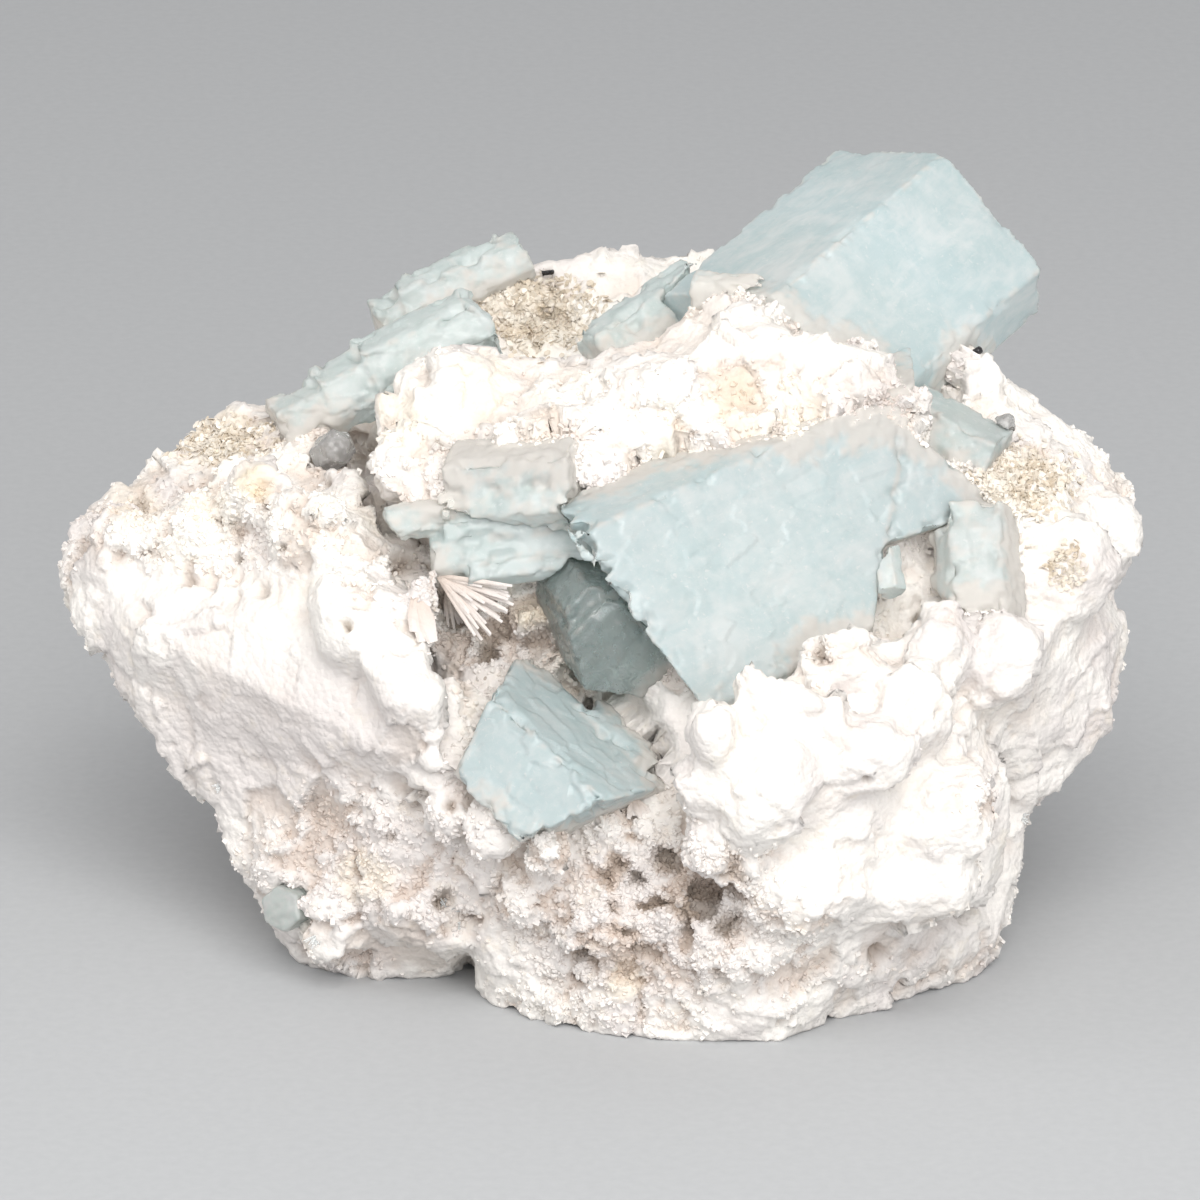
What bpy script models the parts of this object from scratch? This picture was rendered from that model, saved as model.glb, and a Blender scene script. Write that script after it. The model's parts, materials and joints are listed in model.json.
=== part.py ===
"""Aquamarine crystals grown in a lump of white albite, with mica, quartz and tourmaline.

Every place is given as it is seen from the front, in millimetres: right of, above and
behind the middle of the base. The front view looks down on the lump from VIEW_ELEVATION
and stands VIEW_DISTANCE away. The built solids are in metres, with +Z up and +X to the
right, and the lump rests on its flat base at Z = 0.
"""

import math
from collections import Counter
from functools import partial

import bmesh
import bpy
from mathutils import Matrix, Vector, noise
from mathutils.bvhtree import BVHTree

MM = 0.001
VIEW_ELEVATION = math.radians(20.0)
VIEW_DISTANCE = 1000.0
VIEW_CENTRE_UP = 35.7
TO_THE_RIGHT = Vector((1.0, 0.0, 0.0))
UP_THE_VIEW = Vector((0.0, math.sin(VIEW_ELEVATION), math.cos(VIEW_ELEVATION)))
INTO_THE_VIEW = Vector((0.0, math.cos(VIEW_ELEVATION), -math.sin(VIEW_ELEVATION)))

SOCKET_GAP = 0.35  # between a crystal and what it sits in
HEX_SIDES = 6
BLANK = 70.0  # half the side of the block that a crystal is cut from
TOOTH_REACH = 13.0  # how far a bite goes through a crystal to each side

# Colour, roughness and how much light goes through, of each kind or of one piece
MATERIALS = {
    "albite": ((0.83, 0.80, 0.77), 0.65, 0.0),
    "aquamarine": ((0.62, 0.77, 0.78), 0.22, 0.5),
    "aquamarine_dark": ((0.16, 0.30, 0.31), 0.12, 0.5),
    "quartz": ((0.52, 0.50, 0.50), 0.15, 0.5),
    "beryl": ((0.72, 0.78, 0.74), 0.30, 0.4),
    "tourmaline": ((0.02, 0.02, 0.025), 0.25, 0.0),
    "mica": ((0.62, 0.56, 0.46), 0.30, 0.0),
}

# The albite
VOXEL = 1.1
MATRIX_TRIANGLES = 5000
MEND_ROUNDS = 6
BASE_DROP = 2.0  # how far the foot is made below the base before the base is cut flat
LUMP_SIZE = 7.5
LUMP_HEIGHT = 1.0
SWELL_SIZE = 17.0
SWELL_HEIGHT = 1.2
GRAIN_SIZE = 3.2
GRAIN_HEIGHT = 0.45

# The broken blocks of the albite. Each is the hull of its corners. The corners in the
# second row of a block are given from the middle of the base: right, behind, above.
BLOCKS = {
    "left_wing": (
        (
            (-54.6, 39.9, 2), (-54.0, 35.2, 0), (-52.6, 43.0, 3), (-49.0, 44.6, 6),
            (-44.2, 48.8, 8), (-41.6, 52.0, 10), (-37.0, 55.6, 11), (-29.0, 55.4, 8),
            (-49.4, 29.5, -3), (-46.3, 24.5, -3), (-44.0, 31.0, -12),
            (-33.0, 25.7, -19), (-23.0, 20.9, -25), (-15.0, 17.8, -28),
            (-24.0, 48.0, -10), (-15.5, 27.0, -28), (-24.0, 38.0, -21),
            (-40.3, 17.0, -2), (-46.0, 36.0, 20), (-36.0, 48.0, 30), (-38.0, 22.0, 16),
        ),
        (),
    ),
    "left_flank": (
        (
            (-39.6, 17.2, -3), (-37.2, 12.4, -3), (-35.5, 7.9, -3), (-33.0, 4.6, -3),
            (-33.0, 24.0, -14), (-20.0, 17.0, -20), (-12.0, 14.0, -24),
            (-26.0, 3.0, -10), (-12.0, 4.0, -17), (-36.0, 16.0, 16),
            (-30.0, 26.0, 30), (-28.0, 5.0, 14),
        ),
        ((-28.5, -1.6, -BASE_DROP), (-20.0, -3.4, -BASE_DROP), (-24.0, 14.0, -BASE_DROP)),
    ),
    "heart": (
        (
            (-20.0, 50.0, -4), (-14.0, 20.0, -20), (4.0, 14.0, -26), (12.0, 26.0, -26),
            (22.0, 44.0, -20), (26.0, 10.0, -24), (34.0, 52.0, -6), (0.0, 58.0, -6),
            (-8.0, 38.0, -13), (-28.0, 46.0, 34), (34.0, 46.0, 34), (-24.0, 20.0, 36),
            (30.0, 16.0, 36), (0.0, 56.0, 40), (0.0, 20.0, 44), (-34.0, 36.0, 16),
        ),
        (),
    ),
    "crest_left": (
        (
            (-21.2, 56.6, -9), (-20.0, 59.0, -8), (-15.5, 61.4, -8), (-8.0, 61.4, -8),
            (-1.0, 59.8, -10), (2.0, 50.5, -20), (-7.0, 47.0, -22), (-16.0, 43.5, -22),
            (-22.5, 46.0, -19), (-24.0, 52.0, -13), (-16.0, 54.0, 6), (0.0, 56.0, 4),
        ),
        (),
    ),
    "crest_right": (
        (
            (-2.0, 59.4, -11), (6.0, 61.2, -10), (10.5, 64.6, -9), (14.5, 66.8, -8),
            (19.0, 65.0, -9), (25.0, 62.2, -10), (30.0, 58.4, -11), (33.0, 54.6, -12),
            (33.4, 50.8, -14), (20.0, 51.8, -22), (8.0, 51.6, -22), (1.0, 52.0, -21),
            (12.0, 58.0, 6), (30.0, 52.0, 6),
        ),
        (),
    ),
    "back_rise": (
        (
            (-9.0, 68.5, 22), (-5.5, 69.9, 24), (0.0, 70.7, 25), (6.0, 70.3, 26),
            (12.0, 69.6, 26), (18.0, 66.0, 24), (-24.0, 61.0, 20), (-30.0, 54.0, 20),
            (30.0, 58.0, 18), (-24.0, 46.0, 38), (0.0, 60.0, 41), (28.0, 48.0, 38),
            (-18.0, 50.0, 8), (24.0, 50.0, 8),
        ),
        (),
    ),
    "back_left": (
        (
            (-44.0, 44.0, 14), (-44.0, 30.0, 12), (-34.0, 20.0, 24), (-36.0, 46.0, 30),
            (-26.0, 50.0, 34), (-16.0, 40.0, 44), (-14.0, 26.0, 44), (-24.0, 18.0, 36),
            (-10.0, 50.0, 38), (-10.0, 34.0, 20),
        ),
        (),
    ),
    "back_middle": (
        (
            (-12.0, 30.0, 45), (-8.0, 42.0, 47), (4.0, 38.0, 48), (10.0, 46.0, 44),
            (16.0, 34.0, 46), (12.0, 20.0, 45), (-4.0, 20.0, 45), (2.0, 56.0, 42),
            (0.0, 36.0, 20),
        ),
        ((0.0, 42.0, 10.0), (14.0, 40.0, 8.0)),
    ),
    "back_right": (
        (
            (14.0, 48.0, 42), (26.0, 50.0, 36), (36.0, 44.0, 30), (43.0, 40.0, 26),
            (43.0, 28.0, 24), (36.0, 20.0, 28), (24.0, 20.0, 40), (16.0, 26.0, 44),
            (34.0, 54.0, 24), (20.0, 34.0, 10),
        ),
        (),
    ),
    "right_shoulder": (
        (
            (38.4, 60.0, 3), (39.6, 58.8, 3), (40.8, 55.4, 1), (42.4, 53.0, 2),
            (46.8, 51.0, 3), (50.8, 49.2, 3), (52.9, 46.6, 3), (53.7, 44.0, 3),
            (53.1, 39.0, 2), (51.0, 35.6, 0), (36.5, 49.0, -13), (45.0, 44.0, -13),
            (46.0, 36.0, -17), (34.0, 40.0, -18), (30.0, 54.0, 4), (44.0, 50.0, 24),
            (48.0, 38.0, 24), (32.0, 54.0, 28),
        ),
        (),
    ),
    "right_body": (
        (
            (52.4, 35.0, 1), (52.7, 32.6, 0), (50.8, 28.4, -1), (51.0, 24.4, -2),
            (49.2, 20.0, -3), (46.6, 17.2, -4), (44.4, 15.6, -4), (20.0, 31.7, -29), (31.0, 32.5, -27),
            (42.0, 28.0, -22), (47.0, 34.0, -15), (42.0, 18.0, 20), (46.0, 32.0, 26),
            (24.0, 20.0, 10), (28.0, 16.0, -16),
        ),
        (),
    ),
    "right_foot": (
        (
            (44.2, 16.6, -4), (42.2, 13.0, -4), (40.4, 8.8, -5), (39.8, 2.4, -6),
            (30.0, 20.0, -14), (40.0, 18.0, 18), (35.0, 6.0, 16), (26.0, 18.0, 20),
        ),
        ((38.6, -2.6, -BASE_DROP), (34.0, 16.0, -BASE_DROP), (24.0, 0.0, -BASE_DROP)),
    ),
    "front_bulge": (
        (
            (9.0, 18.5, -35), (8.6, 14.5, -34), (10.4, 8.8, -32), (14.0, 4.4, -30),
            (20.0, 2.0, -28), (30.0, 2.6, -24), (38.4, 5.4, -17), (41.4, 13.5, -13),
            (40.0, 24.0, -20), (30.0, 29.5, -27), (20.0, 29.5, -31), (14.0, 26.0, -32),
            (24.0, 16.0, -36), (14.0, 17.0, -36), (20.0, 10.0, -10), (34.0, 16.0, -4),
        ),
        (),
    ),
    "apron_left": (
        (
            (-33.4, 4.2, -3), (-26.0, 3.0, -10), (-12.0, 4.0, -17), (-20.0, 17.0, -20),
            (-12.0, 14.0, -23),
        ),
        (
            (-28.5, -1.6, -BASE_DROP), (-24.0, -4.2, -BASE_DROP), (-20.0, -3.6, -BASE_DROP),
            (-16.0, -4.8, -BASE_DROP), (-10.0, 6.0, -BASE_DROP),
        ),
    ),
    "apron_middle": (
        ((-12.0, 14.0, -23), (-12.0, 4.0, -17), (4.0, 14.0, -27), (0.0, 3.0, -25)),
        (
            (-12.2, -7.8, -BASE_DROP), (-9.8, -13.6, -BASE_DROP), (-4.0, -17.2, -BASE_DROP),
            (0.0, -19.8, -BASE_DROP), (4.0, -20.8, -BASE_DROP), (10.0, -10.0, -BASE_DROP),
            (-10.0, 2.0, -BASE_DROP),
        ),
    ),
    "apron_right": (
        (
            (4.0, 14.0, -27), (9.0, 4.0, -29), (20.0, 1.6, -27), (30.0, 2.2, -22),
            (39.0, 3.6, -7),
        ),
        (
            (4.0, -20.8, -BASE_DROP), (15.6, -21.6, -BASE_DROP), (20.0, -18.0, -BASE_DROP),
            (24.0, -10.6, -BASE_DROP), (33.4, -7.4, -BASE_DROP), (38.0, -4.6, -BASE_DROP),
            (20.0, 4.0, -BASE_DROP), (0.0, 0.0, -BASE_DROP),
        ),
    ),
    "foot_back": (
        ((-12.0, 14.0, -10), (26.0, 12.0, -10), (-28.0, 30.0, 24), (34.0, 26.0, 24)),
        (
            (-28.5, -1.6, -BASE_DROP), (-26.0, 16.0, -BASE_DROP), (-12.0, 30.0, -BASE_DROP),
            (10.0, 33.0, -BASE_DROP), (31.0, 24.0, -BASE_DROP), (38.0, 8.0, -BASE_DROP),
            (37.6, -2.6, -BASE_DROP), (10.0, 40.0, 16.0), (-18.0, 36.0, 16.0),
            (36.0, 32.0, 18.0),
        ),
    ),
}

# Rounded knobs of albite: right, up and back of the middle, radius, how much longer
# than wide, and the angle of the long way above the horizontal in the front view.
KNOBS = (
    (11.6, 22.2, -38.2, 2.7, 1.25, 80), (15.3, 26.6, -34.2, 2.2, 1.5, -50),
    (18.6, 24.6, -35.4, 2.4, 1.8, -55), (22.5, 24.4, -35.0, 2.0, 1.6, -60),
    (10.6, 17.6, -35.6, 3.0, 1.2, 30), (17.0, 16.6, -37.0, 5.2, 1.3, 70),
    (26.5, 20.0, -34.4, 4.2, 1.2, 20), (24.0, 30.0, -30.4, 3.4, 1.3, 20),
    (31.0, 24.8, -29.5, 4.6, 1.2, 70), (33.5, 31.0, -25.8, 3.6, 1.4, 80),
    (40.0, 29.6, -21.5, 4.4, 1.2, 60), (12.6, 10.4, -32.6, 3.8, 1.2, -40),
    (20.0, 7.0, -29.6, 4.6, 1.5, 5), (31.5, 6.8, -24.8, 4.4, 1.4, 10),
    (34.0, 14.0, -25.6, 5.2, 1.2, 40), (47.0, 38.5, -12.0, 4.6, 1.3, 80),
    (49.6, 43.0, -1.5, 4.0, 1.2, 100), (49.4, 31.6, -1.5, 3.0, 1.1, 60),
    (48.0, 25.0, -3.0, 3.0, 1.2, 60), (41.6, 18.6, -6.0, 3.2, 1.2, 45),
    (38.2, 56.8, -1.6, 2.6, 1.7, 100), (37.0, 9.0, -12.8, 3.4, 1.2, 60),
    (-5.0, 51.0, -18.6, 4.6, 1.5, 10), (6.0, 55.6, -16.6, 4.8, 1.4, 20),
    (15.0, 59.4, -13.4, 5.0, 1.3, 0), (24.0, 56.4, -15.4, 5.0, 1.3, -20),
    (29.4, 54.2, -14.2, 3.8, 1.2, -50), (13.0, 63.8, -9.0, 2.9, 1.2, 40),
    (-15.0, 56.6, -10.4, 4.4, 1.3, 25), (-18.5, 49.6, -15.6, 4.0, 1.3, 10),
    (0.6, 48.6, -20.4, 2.4, 1.1, 0), (-28.5, 42.0, -15.6, 4.0, 1.5, -60),
    (-33.0, 45.0, -9.6, 4.2, 1.4, -60), (-24.0, 33.0, -22.6, 4.4, 1.5, -50),
    (-19.0, 26.0, -26.0, 3.8, 1.4, -50), (-17.5, 35.0, -22.4, 2.2, 1.9, 70),
    (-40.0, 42.0, -5.6, 4.6, 1.3, 30), (-47.6, 40.0, -2.0, 4.2, 1.2, 60),
    (-26.0, 4.2, -9.0, 4.4, 1.2, 20), (-17.0, 5.0, -13.0, 4.6, 1.2, 10),
    (-30.6, 9.0, -7.0, 4.0, 1.3, -60), (-7.0, 7.0, -21.0, 3.8, 1.2, 30),
    (1.0, 2.4, -23.6, 4.0, 1.3, 0), (12.6, 1.6, -24.6, 4.0, 1.4, 0),
    (-27.0, 50.0, 29.0, 4.6, 1.3, 30), (-9.0, 60.0, 38.0, 5.0, 1.5, 10),
    (12.0, 58.0, 39.5, 5.4, 1.3, -20), (31.0, 47.0, 33.0, 5.0, 1.4, -40),
    (41.0, 36.0, 29.0, 4.6, 1.5, 80), (-40.0, 42.0, 24.0, 5.0, 1.4, 60),
    (-29.0, 26.0, 35.0, 4.6, 1.3, 20), (24.0, 28.0, 42.0, 5.4, 1.3, 20),
    (-8.0, 34.0, 45.5, 5.0, 1.5, -20), (8.0, 27.0, 44.0, 4.6, 1.2, 0),
    (2.0, 44.0, 44.0, 4.4, 1.4, 50), (-20.0, 38.0, 39.0, 4.0, 1.3, -40),
    (36.0, 22.0, 26.0, 4.0, 1.3, 60), (-34.0, 16.0, 18.0, 3.8, 1.3, 70),
)

# Hollows in the albite: right, up, back, how far they reach, and how deep they go.
HOLLOWS = (
    (-11.0, 33.0, -22.0, 8.0, 7.0), (-15.0, 38.0, -19.0, 6.0, 3.5),
    (-4.0, 28.0, -24.0, 6.0, 4.0), (11.0, 6.5, -31.0, 4.5, 2.6),
    (5.0, 9.0, -29.0, 5.0, 2.2), (-14.0, 6.0, -18.0, 4.0, 1.6),
    (-30.0, 47.5, -8.0, 4.0, 1.4), (27.0, 36.0, -27.0, 4.5, 2.4),
    (-6.0, 65.0, 8.0, 8.0, 3.0), (20.0, 14.0, -37.0, 3.0, 1.2),
    (-44.0, 45.0, 2.0, 5.0, 1.2), (41.0, 22.0, -21.0, 5.0, 1.4),
    (22.0, 30.0, 42.0, 9.0, 3.0), (-20.0, 44.0, 40.0, 9.0, 2.6),
)

# Each crystal is a bundle of parallel columns, from the middle of its root to the
# middle of its end, as seen from the front. With no turn one prism face looks to the
# front. A column is: sideways, forward, start and stop along the bundle, how far its
# prism faces are from its axis (one for all six, or each, from the face to the front on
# in the order in which a clock's hand seen from the root passes them), and its breaks.
# A break is a place and a direction: what lies that way of the place is broken off.
# Teeth are bites out of a broken edge: its two ends, the way into the crystal, and for
# each bite where it is along the edge, its width and its depth.
CRYSTALS = {
    "aquamarine_main": dict(
        root=(6.4, 46.4, -9.6), end=(33.4, 69.5, 16.6), turn=0.0,
        columns=(
            (0, 0, 16.0, 44.5, (13.3, 13.3, 5.4, 9.4, 13.0, 13.3), (
                ((43.4, 68.0, 16.0), (0.86, -0.10, 0.5)),
                ((37.5, 79.9, 14.0), (0.50, 0.62, 0.6)),
            )),
            (2.0, -2.4, 30.0, 45.2, (9.6, 8.0, 4.6, 6.0, 8.6, 9.2), ()),
        ),
    ),
    "aquamarine_broad": dict(
        root=(44.5, 50.2, -1.4), end=(4.2, 32.0, -19.8), turn=0.0,
        columns=(
            (0, 0, 6.0, 66.0, (9.0, 14.7, 12.0, 9.0, 6.2, 12.3), (
                ((-3.4, 44.3, -23.9), (-0.79, -0.60, 0.16)),
                ((28.2, 38.0, -20.0), (0.97, -0.20, 0.12)),
            )),
            (0, 0, 0.0, 40.0, (8.8, 14.0, 10.0, 6.0, 6.0, 14.0), (
                ((32.0, 42.4, -17.0), (0.32, -0.95, 0.0)),
                ((36.8, 48.0, -16.0), (0.63, 0.77, 0.1)),
            )),
        ),
        teeth=dict(
            edge=((-3.6, 44.0, -23.9), (8.8, 26.9, -32.5)), inward=(0.83, 0.42, 0.1),
            bites=(
                (0.06, 1.3, 0.9), (0.15, 1.0, 1.3), (0.25, 1.6, 0.6), (0.37, 0.9, 0.9),
                (0.50, 1.4, 0.5), (0.63, 1.0, 0.8), (0.78, 1.5, 0.6),
            ),
        ),
    ),
    "aquamarine_front": dict(
        root=(-11.4, 23.4, -18.8), end=(1.8, 11.0, -27.2), turn=0.0,
        columns=(
            (0, 0, -1.6, 22.0, (8.0, 9.4, 6.0, 8.0, 7.4, 6.2), (
                ((1.7, 15.6, -31.0), (0.40, -0.90, -0.16)),
                ((-11.0, 14.5, -30.0), (-0.62, -0.76, 0.20)),
                ((-12.5, 23.0, -28.0), (-0.90, 0.40, 0.10)),
            )),
            (-5.6, -3.4, 6.0, 20.6, (3.4, 3.4, 3.0, 3.0, 3.4, 3.4), (
                ((4.2, 17.6, -26.0), (0.72, -0.68, 0.0)),
            )),
        ),
        teeth=dict(
            edge=((-7.2, 11.7, -32.4), (1.6, 15.6, -32.0)), inward=(-0.5, 0.8, 0.2),
            bites=((0.2, 1.3, 0.7), (0.5, 1.6, 0.6), (0.8, 1.2, 0.9)),
        ),
    ),
    "aquamarine_dark": dict(
        root=(-2.4, 37.0, -10.0), end=(2.2, 30.8, -24.6), turn=12.0,
        columns=(
            (0, 0, 0, 16.4, (5.0, 4.6, 4.8, 5.4, 4.8, 4.6), ()),
            (-1.0, 3.2, 0, 15.0, (3.4, 3.4, 3.0, 3.4, 3.2, 3.0), ()),
        ),
    ),
    "aquamarine_blades": dict(
        root=(2.0, 41.4, -18.6), end=(-16.0, 39.4, -20.6), turn=0.0,
        columns=(
            (0.6, 0, 0, 18.6, (1.7, 1.9, 1.7, 1.7, 2.4, 1.9), ()),
            (-1.2, 0.4, 0, 15.6, (1.7, 1.5, 1.5, 1.7, 1.5, 1.5), ()),
            (3.0, 0.5, 0, 17.4, (1.4, 1.5, 1.5, 1.4, 1.5, 1.5), ()),
            (4.4, -0.6, 0, 22.8, (1.5, 1.7, 1.5, 1.5, 1.7, 1.5), (
                ((-20.4, 42.4, -21.0), (-0.75, -0.65, 0.0)),
            )),
        ),
    ),
    "aquamarine_embedded": dict(
        root=(-15.0, 46.6, -17.8), end=(-2.2, 47.5, -21.4), turn=0.0,
        columns=(
            (0, 0, 0.6, 13.2, (4.0, 4.3, 4.0, 4.0, 4.3, 4.0), ()),
            (1.4, 0.5, 0, 10.8, (3.6, 3.0, 3.0, 3.6, 3.0, 3.0), ()),
        ),
    ),
    "aquamarine_shoulder": dict(
        root=(-31.0, 54.2, 3.0), end=(-11.6, 63.6, 6.0), turn=0.0,
        columns=(
            (0.8, 0, -1.6, 19.6, (3.0, 3.0, 3.0, 3.0, 3.0, 2.8), ()),
            (0.4, 0.2, 3.6, 20.6, (3.2, 3.4, 3.2, 3.2, 3.4, 3.1), ()),
            (0.0, 0.4, 8.6, 22.2, (3.4, 3.6, 3.4, 3.4, 3.6, 3.5), (
                ((-15.0, 66.2, 2.0), (0.5, 0.8, -0.3)),
            )),
        ),
    ),
    "aquamarine_back": dict(
        root=(-21.9, 64.2, 20.0), end=(-7.0, 70.4, 23.0), turn=0.0,
        columns=(
            (0.7, 0, -0.8, 10.4, (2.2, 2.4, 2.2, 2.2, 2.4, 2.3), ()),
            (0, 0.3, 2.0, 16.0, (2.4, 2.6, 2.4, 2.4, 2.6, 2.4), (
                ((-6.9, 70.6, 22.0), (0.95, 0.30, 0.0)),
            )),
            (-0.3, -0.4, 9.0, 14.2, (2.4, 2.6, 2.4, 2.4, 2.6, 2.6), ()),
        ),
    ),
    "aquamarine_saddle": dict(
        root=(-1.0, 59.8, -1.0), end=(11.6, 68.6, 5.0), turn=0.0,
        columns=(
            (0, 0, 0.6, 14.6, (2.6, 2.8, 2.6, 2.6, 2.8, 2.6), ()),
            (1.6, 0.6, 2.4, 12.6, (2.4, 2.4, 2.4, 2.4, 2.4, 2.4), ()),
        ),
    ),
    "aquamarine_flank": dict(
        root=(9.4, 66.6, -5.6), end=(22.2, 65.6, -8.0), turn=0.0,
        columns=(
            (0.3, 0, 0, 8.6, (1.8, 2.2, 2.0, 1.8, 2.2, 2.0), ()),
            (1.6, 0.3, 2.0, 13.0, (1.8, 2.0, 2.0, 1.8, 2.0, 1.8), ()),
        ),
    ),
    "aquamarine_under": dict(
        root=(25.6, 55.8, -4.6), end=(39.4, 48.6, -8.0), turn=0.0,
        columns=((0, 0, 0, 15.6, (3.8, 4.0, 3.8, 3.8, 4.0, 3.8), ()),),
    ),
    "aquamarine_right": dict(
        root=(37.4, 46.6, -12.4), end=(38.0, 33.0, -18.0), turn=0.0,
        columns=(
            (0, 0, 2.6, 14.6, (3.8, 4.2, 3.8, 3.8, 4.2, 3.8), (
                ((36.0, 34.8, -20.0), (-0.62, -0.78, 0.0)),
            )),
        ),
    ),
    "aquamarine_blade": dict(
        root=(27.6, 46.0, -15.0), end=(29.2, 36.4, -20.4), turn=10.0,
        columns=((0, 0, 0, 11.0, (1.2, 1.4, 1.2, 1.2, 1.4, 1.2), ()),),
    ),
}

# Small crystals that sit on the surface: right and up as seen from the front, half the
# width, the length, how deep they are set, which way they point, and how pointed.
GRAINS = {
    "quartz_grain": dict(
        at=(39.9, 52.2), half_width=1.35, length=3.6, set_in=1.2, way=(0.45, 0.80, -0.4),
        tip=1.4,
    ),
    "quartz_left": dict(
        at=(-26.4, 50.8), half_width=1.7, length=4.2, set_in=2.2, way=(0.5, 0.30, -0.8),
        tip=1.2,
    ),
    "beryl_left": dict(
        at=(-31.2, 5.0), half_width=2.0, length=4.6, set_in=2.6, way=(-0.45, -0.1, -0.9),
        tip=0.4,
    ),
    "tourmaline_right": dict(
        at=(37.5, 60.4), half_width=0.42, length=1.5, set_in=0.6, way=(0.7, 0.5, -0.5),
        tip=0.2,
    ),
    "tourmaline_left": dict(
        at=(-5.4, 68.4), half_width=0.40, length=1.6, set_in=0.5, way=(0.9, 0.1, -0.4),
        tip=0.2,
    ),
}

# Crusts of mica flakes: where each flake lies as seen from the front, and its size.
FLAKE_THICKNESS = 0.5
FLAKE_RISE = 0.15  # how far the middle of a flake stands out from the albite
CRUSTS = {
    "mica_saddle": dict(
        seed=3, tilt=0.75,
        flakes=(
            (-10.4, 65.2, 1.6), (-8.2, 66.2, 1.7), (-5.9, 66.4, 1.7), (-8.8, 63.9, 1.6),
            (-6.6, 64.2, 1.8), (-4.2, 64.8, 1.8), (-2.0, 63.9, 1.7), (-5.4, 62.3, 1.7),
            (-3.0, 62.2, 1.7),
        ),
    ),
    "mica_right": dict(
        seed=5, tilt=0.45,
        flakes=(
            (38.2, 49.6, 1.7), (40.4, 49.6, 1.7), (42.4, 48.4, 1.7), (40.4, 47.4, 1.6),
            (43.6, 46.4, 1.6), (41.8, 45.6, 1.6), (45.0, 44.8, 1.4),
        ),
    ),
    "mica_left": dict(
        seed=8, tilt=0.35,
        flakes=(
            (-40.4, 50.9, 1.5), (-38.6, 52.0, 1.6), (-36.6, 52.9, 1.5), (-37.6, 51.0, 1.4),
            (-35.0, 53.0, 1.3),
        ),
    ),
    "mica_low": dict(
        seed=11, tilt=0.4,
        flakes=((46.4, 40.6, 1.1), (47.0, 39.2, 1.1), (46.2, 38.0, 1.0)),
    ),
}


def seen(right, up, back):
    """The place, in metres, of a point given as it is seen from the front."""
    nearness = 1.0 + back / VIEW_DISTANCE
    height = VIEW_CENTRE_UP + (up - VIEW_CENTRE_UP) * nearness
    return MM * (right * nearness * TO_THE_RIGHT + height * UP_THE_VIEW + back * INTO_THE_VIEW)


def heading(right, up, back):
    """The direction, of length one, given as it is seen from the front."""
    way = right * TO_THE_RIGHT + up * UP_THE_VIEW + back * INTO_THE_VIEW
    return way.normalized()


def clear_scene():
    for obj in list(bpy.data.objects):
        bpy.data.objects.remove(obj, do_unlink=True)


def link(name, bm):
    """A new object with the bmesh, which is freed."""
    mesh = bpy.data.meshes.new(name)
    bm.to_mesh(mesh)
    bm.free()
    obj = bpy.data.objects.new(name, mesh)
    bpy.context.scene.collection.objects.link(obj)
    return obj


def apply_modifiers(obj):
    """Makes the object's mesh the one that its modifiers give."""
    bpy.context.view_layer.update()
    graph = bpy.context.evaluated_depsgraph_get()
    mesh = bpy.data.meshes.new_from_object(obj.evaluated_get(graph))
    before = obj.data
    obj.modifiers.clear()
    obj.data = mesh
    bpy.data.meshes.remove(before)
    mesh.name = obj.name


def combine(obj, bm, operation):
    """Joins the closed bmesh to the object or takes it away, and frees it."""
    other = link("cutter", bm)
    modifier = obj.modifiers.new("Boolean", "BOOLEAN")
    modifier.operation = operation
    modifier.solver = "EXACT"
    modifier.object = other
    apply_modifiers(obj)
    mesh = other.data
    bpy.data.objects.remove(other, do_unlink=True)
    bpy.data.meshes.remove(mesh)


def keep_largest(obj):
    """Drops every loose body of the mesh but the largest."""
    bm = bmesh.new()
    bm.from_mesh(obj.data)
    unseen = set(bm.verts)
    bodies = []
    while unseen:
        body, edge = set(), [unseen.pop()]
        while edge:
            vert = edge.pop()
            body.add(vert)
            for near in (e.other_vert(vert) for e in vert.link_edges):
                if near in unseen:
                    unseen.discard(near)
                    edge.append(near)
        bodies.append(body)
    bodies.sort(key=len)
    for body in bodies[:-1]:
        bmesh.ops.delete(bm, geom=list(body), context="VERTS")
    bm.to_mesh(obj.data)
    bm.free()


def mend(obj):
    """Opens the mesh where more than two faces share an edge, and closes it anew."""
    bm = bmesh.new()
    bm.from_mesh(obj.data)
    for _ in range(MEND_ROUNDS):
        bmesh.ops.triangulate(bm, faces=bm.faces)
        sides = Counter()
        for edge in bm.edges:
            sides[frozenset(edge.verts)] += len(edge.link_faces)
        torn = {v for ends, count in sides.items() if count != 2 for v in ends}
        torn.update(v for v in bm.verts if not v.is_manifold)
        if not torn:
            break
        bmesh.ops.delete(bm, geom=list(torn), context="VERTS")
        rims = [e for e in bm.edges if len(e.link_faces) == 1]
        bmesh.ops.holes_fill(bm, edges=rims, sides=0)
    bmesh.ops.recalc_face_normals(bm, faces=bm.faces)
    bm.to_mesh(obj.data)
    bm.free()


def add_hull(bm, corners):
    made = [bm.verts.new(corner) for corner in corners]
    result = bmesh.ops.convex_hull(bm, input=made)
    spare = {g for key in ("geom_interior", "geom_unused") for g in result[key]}
    spare = [g for g in spare if isinstance(g, bmesh.types.BMVert)]
    bmesh.ops.delete(bm, geom=spare, context="VERTS")


def slice_off(bm, place, way):
    """Cuts a convex solid flat at the place, and drops what lies that way of it."""
    geom = bm.verts[:] + bm.edges[:] + bm.faces[:]
    cut = bmesh.ops.bisect_plane(
        bm, geom=geom, dist=1e-7, plane_co=place, plane_no=way, clear_outer=True
    )
    edges = [g for g in cut["geom_cut"] if isinstance(g, bmesh.types.BMEdge)]
    if edges:
        bmesh.ops.contextual_create(bm, geom=edges)


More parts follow.
